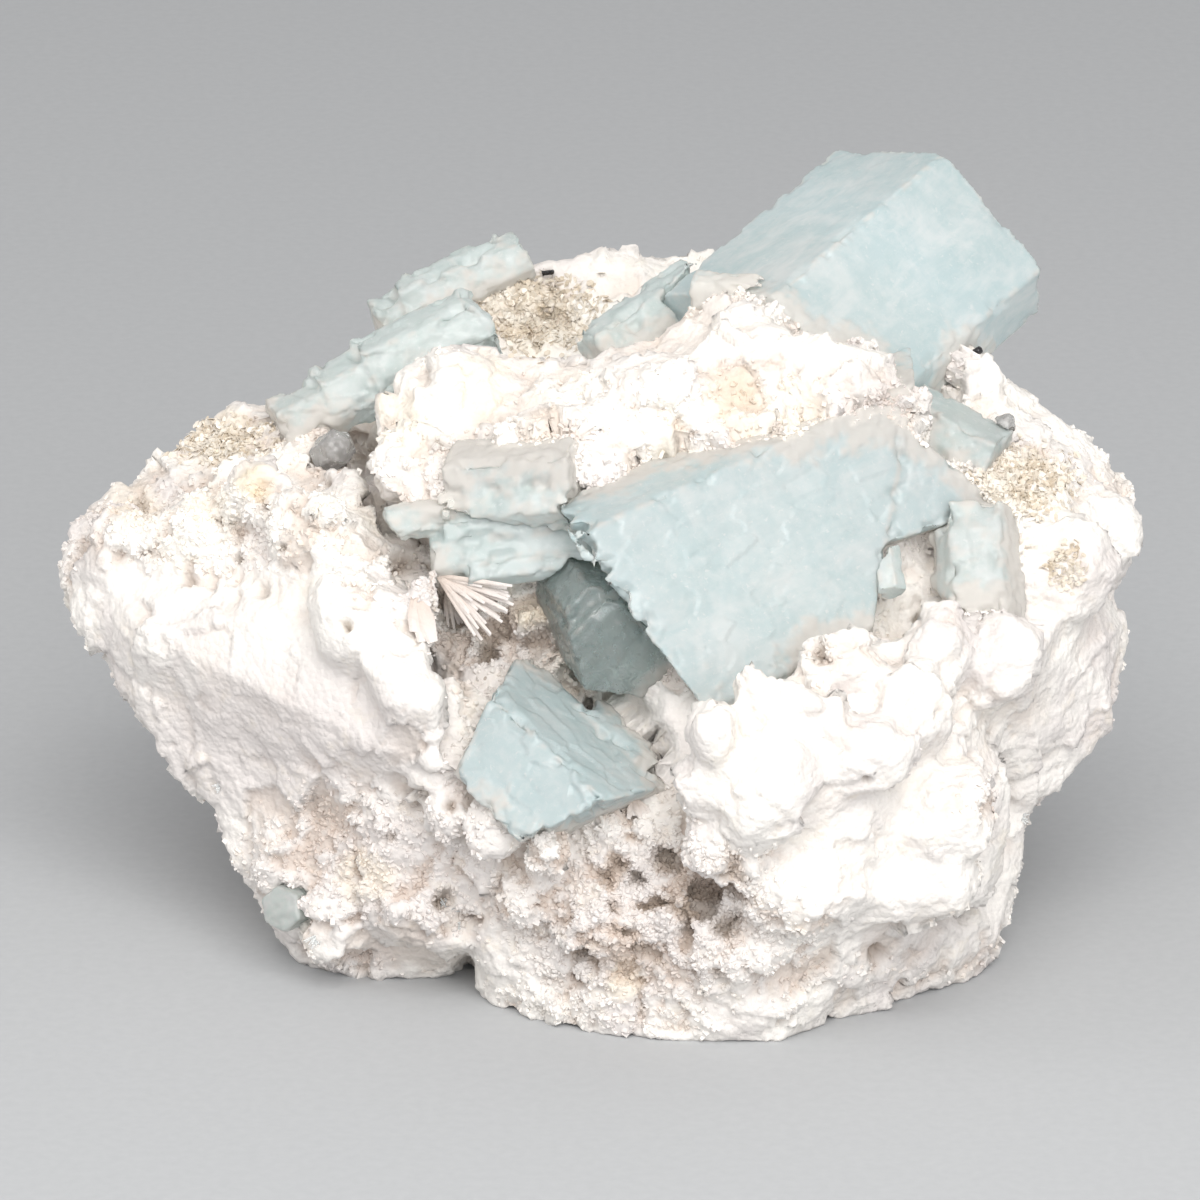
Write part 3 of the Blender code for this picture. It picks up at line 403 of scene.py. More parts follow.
def keep(mesh, name, values):
    """Stores one number, or one vector, for each vertex."""
    vector = values.ndim == 2
    attribute = mesh.attributes.new(name, "FLOAT_VECTOR" if vector else "FLOAT", "POINT")
    attribute.data.foreach_set("vector" if vector else "value", values.astype(np.float32).ravel())


def wavy(places, wavelength, seed=0.0):
    """Smooth noise from -1 to 1 at each place, with bumps about a wavelength apart."""
    scaled = places / wavelength + seed
    return np.array([noise.noise(p) for p in scaled])


def cells(places, width, seed=0.0):
    """How far each place is from the middle of its cell, as a share of the cells' width."""
    scaled = places / width + seed
    return np.array([noise.voronoi(p)[0][0] for p in scaled])


def facets(places, width, seed=0.0):
    """For each place, the height of a broken surface: one tilted plane in each cell. It is
    a share of the cells' width."""
    heights = np.empty(len(places))
    for i, place in enumerate(places / width + seed):
        point = Vector(place)
        middle = noise.voronoi(point)[1][0]
        chance = noise.cell_vector(middle) * 2.0 - Vector((1.0, 1.0, 1.0))
        heights[i] = (point - middle).dot(chance) + 0.25 * chance.x
    return heights


def finish_piece(obj, slot, *nodes):
    """Makes the object a piece that rides on the specimen."""
    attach(obj, "root")
    if nodes:
        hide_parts(*nodes)


# Materials

NOISE, RANGE, MIX = "ShaderNodeTexNoise", "ShaderNodeMapRange", "ShaderNodeMix"
MATH, STORED = "ShaderNodeMath", "ShaderNodeAttribute"


def add(tree, kind, inputs=None, **settings):
    """A new shader or geometry node with its settings, values and links. A node given as
    an input stands for its first output, and a colour may be three numbers."""
    made = tree.nodes.new(kind)
    for key, value in settings.items():
        setattr(made, key, value)
    for key, value in (inputs or {}).items():
        socket = made.inputs[key]
        if isinstance(value, bpy.types.Node):
            value = next(output for output in value.outputs if output.enabled)
        if isinstance(value, bpy.types.NodeSocket):
            tree.links.new(value, socket)
        elif socket.type == "RGBA":
            socket.default_value = (*value[:3], 1.0)
        else:
            socket.default_value = value
    return made


def empty_material(name):
    """A material with no nodes, and its node tree."""
    material = bpy.data.materials.new(name)
    material.use_nodes = True
    material.node_tree.nodes.clear()
    return material, material.node_tree


def scale_of(millimetres):
    """The scale of a pattern whose spots lie this far apart."""
    return 1.0 / (millimetres * MM)


def albite_material():
    """Albite feldspar, grown as a mass of sugar-fine crystals and broken by hand: a white
    stone with a satin skin, greyer in patches, with cream stains from iron, and painted
    shade that is grey on its undercut and low faces, pinkish brown in its creases and brown in its
    pits."""
    chosen = bpy.context.scene.specimen_rock
    material, tree = empty_material("Albite feldspar, sugary")
    where = add(tree, "ShaderNodeTexCoord").outputs["Object"]
    stain, dirt, grey, hollow = (
        add(tree, STORED, attribute_name=name).outputs["Fac"]
        for name in ("stain", "dirt", "grey", "hollow")
    )
    cloud, fleck, warm, grit = (
        add(tree, NOISE, {
            "Vector": where, "Scale": scale_of(apart), "Detail": detail, "Roughness": roughness,
        })
        for apart, detail, roughness in (
            (11.0, 3.0, 0.55), (1.1, 4.0, 0.7), (3.2, 4.0, 0.65), (0.55, 4.0, 0.65),
        )
    )
    # Greyer patches at random, painted shade on the undercut and low faces, and greyer flecks
    cloud = add(tree, RANGE, {"Value": cloud, "From Min": 0.42, "From Max": 0.66, "To Max": 0.85})
    cloud = add(tree, MATH, {0: cloud, 1: grey}, operation="MAXIMUM")
    colour = add(tree, MIX, {0: cloud, 6: chosen.bright, 7: chosen.shade}, data_type="RGBA")
    fleck = add(tree, RANGE, {"Value": fleck, "From Min": 0.52, "From Max": 0.70, "To Max": 0.35})
    colour = add(tree, MIX, {0: fleck, 6: colour, 7: chosen.shade}, data_type="RGBA")
    # Cream stains, some by chance and some where they are stored
    drift = add(tree, RANGE, {"Value": warm, "From Min": 0.56, "From Max": 0.72, "To Max": 0.22})
    stain = add(tree, MATH, {0: stain, 1: warm}, operation="MULTIPLY")
    stain = add(tree, RANGE, {"Value": stain, "From Min": 0.12, "From Max": 0.60, "To Max": 0.85})
    cream = add(tree, MATH, {0: drift, 1: stain}, operation="MAXIMUM")
    colour = add(tree, MIX, {0: cream, 6: colour, 7: chosen.cream}, data_type="RGBA")
    # Painted shade: pinkish brown in the creases, and dark brown in the pits
    hollow = add(tree, RANGE, {"Value": hollow, "To Max": 0.75})
    colour = add(tree, MIX, {0: hollow, 6: colour, 7: chosen.painted_crease_shade}, data_type="RGBA")
    dirt = add(tree, RANGE, {"Value": dirt, "From Min": 0.15, "To Max": 0.85})
    colour = add(tree, MIX, {0: dirt, 6: colour, 7: chosen.dirt}, data_type="RGBA")
    # A satin shine that varies, and fine relief
    gloss = add(tree, RANGE, {
        "Value": grit, "From Min": 0.3, "From Max": 0.7, "To Min": 0.48, "To Max": 0.78,
    })
    crystals = add(tree, "ShaderNodeTexVoronoi", {"Vector": where, "Scale": scale_of(0.7)})
    height = add(tree, MATH, {0: grit, 1: crystals}, operation="SUBTRACT")
    bump = add(tree, "ShaderNodeBump", {
        "Strength": 0.6, "Distance": 0.22 * MM, "Height": height,
    })
    shader = add(tree, "ShaderNodeBsdfPrincipled", {
        "Base Color": colour, "Roughness": gloss, "Normal": bump, "IOR": 1.53,
    })
    add(tree, "ShaderNodeOutputMaterial", {"Surface": shader})
    return material


def beryl_material(name, body, veil, depth, density, transmission, roughness):
    """Aquamarine, a blue beryl that grew as six-sided columns: see-through, but clouded by
    veils of fine cracks and liquid, with faces etched to a frost. Albite crusts it where
    it stands close to the rock, and a painted highlight whitens its sharp edges."""
    material, tree = empty_material(name)
    along = add(tree, STORED, attribute_name="column").outputs["Vector"]
    milk = add(tree, STORED, attribute_name="milk").outputs["Fac"]
    dust = add(tree, STORED, attribute_name="dust").outputs["Fac"]
    where = add(tree, "ShaderNodeTexCoord").outputs["Object"]
    # The streaks are six times as long, down the column, as they are wide
    drawn = add(tree, "ShaderNodeMapping", {"Vector": along, "Scale": (1.0, 1.0, 0.16)})
    streak, cloud, deeper, frosting, flaws, frost = (
        add(tree, NOISE, {
            "Vector": vector, "Scale": scale_of(apart), "Detail": detail, "Roughness": rough,
            "Distortion": distortion,
        })
        for vector, apart, detail, rough, distortion in (
            (drawn, 0.55, 3.0, 0.6, 0.3), (where, 5.0, 4.0, 0.6, 0.8), (where, 6.0, 4.0, 0.6, 0.6),
            (where, 1.7, 6.0, 0.75, 0.0), (where, 0.5, 2.0, 0.6, 0.6), (where, 0.9, 3.0, 0.6, 0.0),
        )
    )
    # Deeper blue patches
    deeper = add(tree, RANGE, {
        "Value": deeper, "From Min": 0.40, "From Max": 0.64, "To Min": 0.16, "To Max": 0.0,
    })
    colour = add(tree, MIX, {0: deeper, 6: body, 7: depth}, data_type="RGBA")
    # White veils, a frosty mottling and small flaws
    wisps = add(tree, MATH, {0: streak, 1: 0.25, 2: cloud}, operation="MULTIPLY_ADD")
    veils = add(tree, RANGE, {"Value": wisps, "From Min": 0.56, "From Max": 0.80, "To Max": 1.5})
    veils = add(tree, MATH, {0: veils, 1: milk}, operation="MULTIPLY")
    frosting = add(tree, RANGE, {
        "Value": frosting, "From Min": 0.47, "From Max": 0.66, "To Max": 0.45,
    })
    flaws = add(tree, RANGE, {"Value": flaws, "From Min": 0.62, "From Max": 0.72, "To Max": 0.8})
    for whiter in (veils, frosting, flaws):
        colour = add(tree, MIX, {0: whiter, 6: colour, 7: veil}, data_type="RGBA")
    # The crust of albite, which is rougher, and the painted highlight along the sharp edges, in the
    # same white
    albite = bpy.context.scene.specimen_rock.bright
    colour = add(tree, MIX, {0: dust, 6: colour, 7: albite}, data_type="RGBA")
    gloss = add(tree, RANGE, {
        "Value": frost, "From Min": 0.35, "From Max": 0.70, "To Min": roughness,
        "To Max": roughness + 0.25,
    })
    gloss = add(tree, MATH, {0: dust, 1: 0.3, 2: gloss}, operation="MULTIPLY_ADD")
    shader = add(tree, "ShaderNodeBsdfPrincipled", {
        "Base Color": colour, "Roughness": gloss, "IOR": 1.577,
        "Transmission Weight": transmission,
    })
    absorb = add(tree, "ShaderNodeVolumeAbsorption", {"Color": depth, "Density": density})
    add(tree, "ShaderNodeOutputMaterial", {"Surface": shader, "Volume": absorb})
    return material


def clear_material(name, colour, density, transmission, roughness, ior):
    """Quartz, albite or colourless beryl, grown clear: glassy, with a little haze."""
    material, tree = empty_material(name)
    where = add(tree, "ShaderNodeTexCoord").outputs["Object"]
    haze = add(tree, NOISE, {
        "Vector": where, "Scale": scale_of(0.9), "Detail": 3.0, "Roughness": 0.6,
    })
    hazy = add(tree, RANGE, {"Value": haze, "From Min": 0.4, "From Max": 0.7})
    tint = add(tree, MIX, {0: hazy, 6: colour, 7: linear("#f2f2f0")}, data_type="RGBA")
    gloss = add(tree, RANGE, {
        "Value": haze, "From Min": 0.3, "From Max": 0.7, "To Min": roughness,
        "To Max": roughness + 0.2,
    })
    shader = add(tree, "ShaderNodeBsdfPrincipled", {
        "Base Color": tint, "Roughness": gloss, "IOR": ior, "Transmission Weight": transmission,
    })
    absorb = add(tree, "ShaderNodeVolumeAbsorption", {"Color": colour, "Density": density})
    add(tree, "ShaderNodeOutputMaterial", {"Surface": shader, "Volume": absorb})
    return material


def tourmaline_material():
    """Schorl, a black tourmaline grown as grooved needles: black with a glassy shine. The
    grooves are drawn coarse enough to show."""
    material, tree = empty_material("Schorl tourmaline")
    where = add(tree, "ShaderNodeTexCoord").outputs["Object"]
    grooves = add(tree, NOISE, {
        "Vector": where, "Scale": scale_of(0.25), "Detail": 2.0, "Roughness": 0.55,
    })
    worn = add(tree, RANGE, {"Value": grooves, "From Min": 0.4, "From Max": 0.7})
    black = bpy.context.scene.specimen_small.tourmaline
    tint = add(tree, MIX, {0: worn, 6: black, 7: linear("#2c2a2b")}, data_type="RGBA")
    gloss = add(tree, RANGE, {
        "Value": grooves, "From Min": 0.3, "From Max": 0.7, "To Min": 0.15, "To Max": 0.4,
    })
    shader = add(tree, "ShaderNodeBsdfPrincipled", {
        "Base Color": tint, "Roughness": gloss, "IOR": 1.63,
    })
    add(tree, "ShaderNodeOutputMaterial", {"Surface": shader})
    return material


def mica_material():
    """Muscovite, a mica that splits to thin sheets: silvery tan flakes with a pearly
    shine, some stained brown."""
    material, tree = empty_material("Muscovite mica")
    where = add(tree, "ShaderNodeTexCoord").outputs["Object"]
    broad, fine = (
        add(tree, NOISE, {
            "Vector": where, "Scale": scale_of(apart), "Detail": detail, "Roughness": 0.55,
        })
        for apart, detail in ((2.6, 3.0), (0.5, 2.0))
    )
    silvery = add(tree, RANGE, {"Value": broad, "From Min": 0.35, "From Max": 0.65})
    tan = bpy.context.scene.specimen_small.mica
    tint = add(tree, MIX, {0: silvery, 6: tan, 7: linear("#ece6dc")}, data_type="RGBA")
    brown = add(tree, RANGE, {"Value": fine, "From Min": 0.55, "From Max": 0.75, "To Max": 0.6})
    tint = add(tree, MIX, {0: brown, 6: tint, 7: linear("#9a8a70")}, data_type="RGBA")
    gloss = add(tree, RANGE, {
        "Value": fine, "From Min": 0.3, "From Max": 0.7, "To Min": 0.18, "To Max": 0.45,
    })
    shader = add(tree, "ShaderNodeBsdfPrincipled", {
        "Base Color": tint, "Roughness": gloss, "IOR": 1.58, "Coat Weight": 0.35,
        "Coat Roughness": 0.12,
    })
    add(tree, "ShaderNodeOutputMaterial", {"Surface": shader})
    return material


def paper_material():
    """Backdrop paper, pressed from fibre: matt, with a faint fleck that is drawn coarse
    enough to show."""
    material, tree = empty_material("Backdrop paper")
    where = add(tree, "ShaderNodeTexCoord").outputs["Object"]
    fibre = add(tree, NOISE, {
        "Vector": where, "Scale": scale_of(1.2), "Detail": 2.0, "Roughness": 0.55,
    })
    fleck = add(tree, RANGE, {"Value": fibre, "From Min": 0.3, "From Max": 0.7, "To Max": 0.04})
    paper = bpy.context.scene.specimen_stage.floor
    colour = add(tree, MIX, {0: fleck, 6: paper, 7: linear("#ffffff")}, data_type="RGBA")
    shader = add(tree, "ShaderNodeBsdfPrincipled", {"Base Color": colour, "Roughness": 0.9})
    add(tree, "ShaderNodeOutputMaterial", {"Surface": shader})
    return material


# The rock


def search_tree(objects):
    """One search tree of all the objects' meshes."""
    bm = bmesh.new()
    for obj in objects:
        bm.from_mesh(obj.data)
    tree = BVHTree.FromBMesh(bm)
    bm.free()
    return tree


def rock_pieces():
    """The pieces of the rock's skin."""
    return [bpy.data.objects[f"albite_rock_{part}"] for part in ROCK_PARTS]


def front_finder(tree):
    """A function that finds where the tree is first met at a place of the front view."""

    def find(right, up):
        near, far = seen(right, up, -VIEW_REACH), seen(right, up, VIEW_REACH)
        place, normal, _, _ = tree.ray_cast(near, (far - near).normalized())
        return place, normal

    return find


def add_rods(bm):
    """Rounded fingers, eggs and ribs, half sunk in the rock where they are seen."""
    find = front_finder(BVHTree.FromBMesh(bm))
    for right, up, half_length, radius, angle in RODS:
        place, normal = find(right, up)
        if place is None:
            raise ValueError(f"no rock at {right}, {up}")
        turned = Matrix.Rotation(math.radians(angle), 3, -INTO_THE_VIEW)
        long_way = turned @ TO_THE_RIGHT
        long_way = (long_way - long_way.dot(normal) * normal).normalized()
        across = normal.cross(long_way)
        turn = Matrix((long_way, across, normal)).transposed()
        size = Matrix.Diagonal((MM * half_length, MM * radius, MM * radius))
        where = Matrix.Translation(place - MM * 0.3 * radius * normal) @ (turn @ size).to_4x4()
        bmesh.ops.create_icosphere(bm, subdivisions=3, radius=1.0, matrix=where)
    for right, up, back, radius in FILLS:
        where = Matrix.Translation(seen(right, up, back)) @ Matrix.Scale(radius * MM, 4)
        bmesh.ops.create_icosphere(bm, subdivisions=3, radius=1.0, matrix=where)


def pitted(right, up, facing):
    """How deep the named pits are at each place, and how strongly painted shade darkens them."""
    deep, dirt = np.zeros(len(right)), np.zeros(len(right))
    for pit_right, pit_up, radius, depth, amount in PITS:
        far = np.hypot(right - pit_right, up - pit_up) / radius
        deep += depth * (1.0 - eased(0.35, 1.25, far)) * facing
        dirt = np.maximum(dirt, amount * (1.0 - eased(0.3, 1.3, far)) * facing)
    return deep, dirt


def bared(places, right, up):
    """How far back the rock lies at each place of its front, to bare the crystals."""
    # Only rock that lies well in front of the middle is moved
    in_front = 1.0 - eased(-12.0, -5.0, places @ np.array(INTO_THE_VIEW))
    back = np.zeros(len(right))
    for spot_right, spot_up, radius, depth in BARED:
        far = np.hypot(right - spot_right, up - spot_up) / radius
        back = np.maximum(back, depth * (1.0 - eased(0.5, 1.3, far)) * in_front)
    return back


def grown_on(places):
    """Draws the rock's skin onto the crystals that it nearly touches, and says how close
    each place is to a crystal, from 0 to 1."""
    crystals = search_tree(frame["nodes"][node] for node in AQUAMARINES)
    close = np.zeros(len(places))
    reach = 1.7 + 0.9 * wavy(places, 2.2, 11.0)
    for i, place in enumerate(places):
        here = Vector(place) * MM
        spot, normal, _, away = crystals.find_nearest(here, NEAR_CRYSTAL * MM)
        if spot is None:
            continue
        close[i] = 1.0 - away / MM / NEAR_CRYSTAL
        if away / MM < reach[i] and (here - spot).dot(normal) > 0.0:
            places[i] = np.array(spot - normal * SUNK * MM) / MM
    return places, close


def roughen_rock(mesh):
    """Gives the rock its lumps, cleaved planes, sugar and pits, and stores where they are and where
    painted shade goes.
    """
    chosen = bpy.context.scene.specimen_rock
    places, normals = points_of(mesh)
    right, up = seen_places(places)
    facing = eased(-0.15, 0.2, -(normals @ np.array(INTO_THE_VIEW)))
    sugar = patched(right, up, SUGARY, facing)
    smooth = patched(right, up, SMOOTH, facing)
    vug = patched(right, up, VUGS, facing)
    # Sugar lies in the named patches and drifts over the rest, but thins where it is smooth
    drift = 0.32 + 0.6 * wavy(places, 14.0, 3.0)
    sugar = np.clip(np.maximum(sugar, drift) * (1.0 - 0.8 * smooth), 0.06, 1.0)
    rough = 1.0 - 0.75 * smooth
    # Broad lumps, broken planes of three widths, rounded lumps, and sugar
    out = chosen.swell / MM * wavy(places, 8.5)
    out += chosen.cleavage * rough * 5.2 * facets(places, 5.2)
    out += chosen.cleavage * rough * 2.3 * facets(places, 2.3, 7.0)
    out += chosen.cleavage * 0.7 * sugar * 1.2 * facets(places, 1.2, 4.0)
    out += chosen.lump / MM * rough * (0.5 - cells(places, 2.8))
    out += chosen.sugar / MM * (0.12 + sugar) * (1.1 - 2.2 * cells(places, 1.05, 2.0))
    out += 0.10 * (0.4 + sugar) * wavy(places, 0.8, 9.0)
    # The open, pitted patches: pits drawn out along one slanting way
    drawn = places @ np.array(Matrix.Rotation(math.radians(35.0), 3, "Y")) * [0.55, 1.0, 1.0]
    hollow = eased(0.06, 0.42, wavy(drawn, 2.1, 13.0))
    # Small crumbs that have dropped out of the sugar
    crumbs = eased(0.30, 0.60, wavy(places, 2.6, 21.0)) * sugar
    out -= 1.5 * vug * hollow + 0.5 * crumbs
    deep, dirt = pitted(right, up, facing)
    # Where the creases are, and how much painted shade darkens them
    shade_in_creases = eased(0.05, 0.75, -out) * (0.35 + 0.65 * sugar)
    out -= deep
    # Painted shade also darkens the open pits and the holes left by the crumbs
    dirt = np.maximum(dirt, np.maximum(0.85 * vug * hollow, 0.35 * crumbs))
    stains = [(*middle, reach, reach, strength) for *middle, reach, strength in STAINS]
    back = bared(places, right, up)
    places = places + out[:, None] * normals + back[:, None] * np.array(INTO_THE_VIEW)
    places, close = grown_on(places)
    low, high = np.array(CAD_BOX) / MM
    places = np.clip(places, low - [PAST_BOX, PAST_BOX, 0.0], high + PAST_BOX)
    above = eased(0.2, 0.9, places[:, 2])  # so that the base stays flat
    close *= rough * (1.0 - np.clip(back, 0.0, 1.0))
    keep(mesh, "sugar", eased(0.35, 0.75, np.maximum(sugar, 1.2 * close)) * above)
    keep(mesh, "beads", np.maximum(vug, 0.6 * eased(0.45, 0.85, close)) * above)
    # Stored next: the painted shade of the pits, the creases and the undercut and low faces, then
    # the stains and the mica
    keep(mesh, "dirt", dirt)
    keep(mesh, "hollow", shade_in_creases)
    keep(mesh, "stain", patched(right, up, stains, facing))
    keep(mesh, "grey", patched(right, up, SHADED_PATCHES, facing))
    keep(mesh, "mica", patched(right, up, [(*spot, 1.0) for spot in MICA], facing))
    set_points(mesh, places)


def part_of(obj, name, wanted):
    """A new object with the faces whose middle, in millimetres, is wanted."""
    bm = bmesh.new()
    bm.from_mesh(obj.data)
    outside = [f for f in bm.faces if not wanted(f.calc_center_median() / MM)]
    bmesh.ops.delete(bm, geom=outside, context="FACES")
    made = link(name, bm)
    made.data.materials.append(obj.data.materials[0])
    return made


def make_rock():
    """The skin of the albite, in five pieces."""
    chosen = bpy.context.scene.specimen_rock
    bm = merged_copy("albite_matrix")
    add_rods(bm)
    whole = link("whole rock", bm)
    fine_skin(whole, chosen.fineness, 7)
    roughen_rock(whole.data)
    whole.data.shade_smooth()
    whole.data.materials.clear()
    whole.data.materials.append(albite_material())
    parts = {
        "left": lambda p: p.y < ROCK_BACK and p.x < ROCK_MIDDLE,
        "low": lambda p: p.y < ROCK_BACK and p.x >= ROCK_MIDDLE and p.z < ROCK_LEVEL,
        "high": lambda p: p.y < ROCK_BACK and p.x >= ROCK_MIDDLE and p.z >= ROCK_LEVEL,
        "back_left": lambda p: p.y >= ROCK_BACK and p.x < ROCK_MIDDLE,
        "back_right": lambda p: p.y >= ROCK_BACK and p.x >= ROCK_MIDDLE,
    }
    for part in ROCK_PARTS:
        made = part_of(whole, f"albite_rock_{part}", parts[part])
        finish_piece(made, "albite", "albite_matrix")
    bpy.data.objects.remove(whole, do_unlink=True)


# Small things that are scattered by geometry nodes


def scatter_tree(name, shape):
    """A tree that scatters a small shape over a mesh. Its inputs are the density, the
    attribute that the density follows, the size, the least and most scale each way, how
    freely it tips, how far out it sits, the seed and the material."""
    tree = bpy.data.node_groups.new(name, "GeometryNodeTree")
    kinds = (
        ("Geometry", "NodeSocketGeometry"), ("Density", "NodeSocketFloat"),
        ("Follow", "NodeSocketString"), ("Size", "NodeSocketFloat"),
        ("Least", "NodeSocketVector"), ("Most", "NodeSocketVector"), ("Tip", "NodeSocketFloat"),
        ("Out", "NodeSocketFloat"), ("Seed", "NodeSocketInt"), ("Material", "NodeSocketMaterial"),
    )
    for socket, kind in kinds:
        tree.interface.new_socket(name=socket, in_out="INPUT", socket_type=kind)
    tree.interface.new_socket(name="Geometry", in_out="OUTPUT", socket_type="NodeSocketGeometry")
    given = add(tree, "NodeGroupInput").outputs
    follow = add(tree, "GeometryNodeInputNamedAttribute", {"Name": given["Follow"]})
    dense = add(tree, MATH, {0: follow, 1: given["Density"]}, operation="MULTIPLY")
    points = add(tree, "GeometryNodeDistributePointsOnFaces", {
        "Mesh": given["Geometry"], "Density": dense, "Seed": given["Seed"],
    })
    free = add(tree, "FunctionNodeRandomValue", {
        0: (-math.pi,) * 3, 1: (math.pi,) * 3, "Seed": given["Seed"],
    }, data_type="FLOAT_VECTOR")
    tipped = add(tree, "ShaderNodeVectorMath", {
        0: free, "Scale": given["Tip"],
    }, operation="SCALE")
    spin = add(tree, "ShaderNodeCombineXYZ", {
        "Z": add(tree, "ShaderNodeSeparateXYZ", {0: free}).outputs["Z"],
    })
    own = add(tree, "ShaderNodeVectorMath", {0: tipped, 1: spin})
    turn = add(tree, "FunctionNodeEulerToRotation", {0: own})
    turned = add(tree, "FunctionNodeRotateRotation", {
        0: points.outputs["Rotation"], 1: turn,
    }, rotation_space="LOCAL")
    scale = add(tree, "FunctionNodeRandomValue", {
        0: given["Least"], 1: given["Most"], "Seed": given["Seed"],
    }, data_type="FLOAT_VECTOR")
    sized = add(tree, "ShaderNodeVectorMath", {
        0: scale, "Scale": given["Size"],
    }, operation="SCALE")
    outward = add(tree, "ShaderNodeVectorMath", {
        0: points.outputs["Normal"], "Scale": given["Out"],
    }, operation="SCALE")
    moved = add(tree, "GeometryNodeSetPosition", {
        "Geometry": points.outputs["Points"], "Offset": outward,
    })
    placed = add(tree, "GeometryNodeInstanceOnPoints", {
        "Points": moved, "Instance": shape(tree), "Rotation": turned,
        "Scale": sized,
    })
    real = add(tree, "GeometryNodeRealizeInstances", {0: placed})
    dressed = add(tree, "GeometryNodeSetMaterial", {
        "Geometry": real, "Material": given["Material"],
    })
    add(tree, "NodeGroupOutput", {"Geometry": dressed})
    return tree


def block(tree):
    """A chunky cleaved crystal, one across."""
    return add(tree, "GeometryNodeMeshCube", {"Size": (1.0, 1.0, 1.0)})


def bead(tree):
    """A rounded grain, one across."""
    return add(tree, "GeometryNodeMeshUVSphere", {"Segments": 7, "Rings": 5, "Radius": 0.5})


def flake(tree):
    """A thin six-sided plate, one across."""
    return add(tree, "GeometryNodeMeshCylinder", {"Vertices": 6, "Radius": 0.5, "Depth": 0.05})


def scatter(name, tree, source, material, **values):
    """A piece made by the scatter tree over the source's mesh."""
    obj = bpy.data.objects.new(name, source.data.copy())
    bpy.context.scene.collection.objects.link(obj)
    modifier = obj.modifiers.new("Scatter", "NODES")
    modifier.node_group = tree
    values["Material"] = material
    for item in tree.interface.items_tree:
        if item.in_out == "INPUT" and item.name in values:
            modifier[item.identifier] = values[item.name]
    plain_mesh(obj)
    return obj


def make_grains():
    """The sugary albite: chunky grains, and round beads in the open patches."""
    chosen = bpy.context.scene.specimen_rock
    grains = scatter_tree("Scatter grains", block)
    beads = scatter_tree("Scatter beads", bead)
    # The share of the grains on each piece: the plain back has fewer
    dense = {"left": 1.0, "low": 1.0, "high": 1.0, "back_left": 0.35, "back_right": 0.35}
    for number, (side, share) in enumerate(dense.items()):
        rock = bpy.data.objects[f"albite_rock_{side}"]
        material = rock.data.materials[0]
        made = scatter(
            f"albite_grains_{side}", grains, rock, material, Follow="sugar",
            Density=share * chosen.grains_each_mm2 / MM**2, Size=chosen.grain,
            Least=(0.5, 0.5, 0.4), Most=(1.7, 1.3, 1.1), Tip=0.35, Out=-0.04 * MM,
            Seed=chosen.seed + number,
        )
        finish_piece(made, "albite")
        made = scatter(
            f"albite_beads_{side}", beads, rock, material, Follow="beads",
            Density=share * 2.2 / MM**2, Size=0.5 * MM, Least=(0.4, 0.4, 0.4),
            Most=(1.7, 1.5, 1.5), Tip=0.5, Out=0.05 * MM, Seed=chosen.seed + 10 + number,
        )
        finish_piece(made, "albite")


def make_mica():
    """Mica crusts: thin flakes that lie over each other on the rock."""
    chosen = bpy.context.scene.specimen_small
    tree = scatter_tree("Scatter flakes", flake)
    material = mica_material()
    nodes = {
        "left": ("mica_left",), "high": ("mica_right", "mica_low"),
        "back_left": ("mica_left", "mica_saddle"), "back_right": ("mica_saddle",),
    }
    for side, replaced in nodes.items():
        made = scatter(
            f"mica_flakes_{side}", tree, bpy.data.objects[f"albite_rock_{side}"], material,
            Density=chosen.flakes_each_mm2 / MM**2, Follow="mica", Size=chosen.flake,
            Least=(0.5, 0.4, 0.8), Most=(1.9, 1.3, 1.6), Tip=0.30, Out=0.08 * MM, Seed=3,
        )
        finish_piece(made, "mica", *replaced)


def thin_solid(bm, root, long_way, normal, length, width, thick):
    """Adds a thin, tapering six-sided blade that starts at root, greyer throughout, with painted
    shade that is darkest at the root.
    """
    grey = bm.verts.layers.float.get("grey") or bm.verts.layers.float.new("grey")
    hollow = bm.verts.layers.float.get("hollow") or bm.verts.layers.float.new("hollow")
    long_way = long_way.normalized()
    across = normal.cross(long_way).normalized()
    up = long_way.cross(across)
    rings = []
    # A ring of corners at the root, past the middle and at the tip, each with its share of painted
    # shade
    for along, share, dark in ((0.0, 0.8, 1.0), (0.55 * length, 1.0, 0.6), (length, 0.55, 0.1)):
        ring = []
        for i in range(6):
            angle = math.radians(60.0 * i)
            side = 0.5 * width * share * math.cos(angle)
            rise = 0.5 * thick * share * math.sin(angle)
            vert = bm.verts.new(MM * (along * long_way + side * across + rise * up) + root)
            vert[grey], vert[hollow] = 0.8, dark
            ring.append(vert)
        rings.append(ring)
    for first, second in zip(rings, rings[1:]):
        for i in range(6):
            j = (i + 1) % 6
            bm.faces.new((first[i], first[j], second[j], second[i]))
    bm.faces.new(rings[0][::-1])
    bm.faces.new(rings[-1])


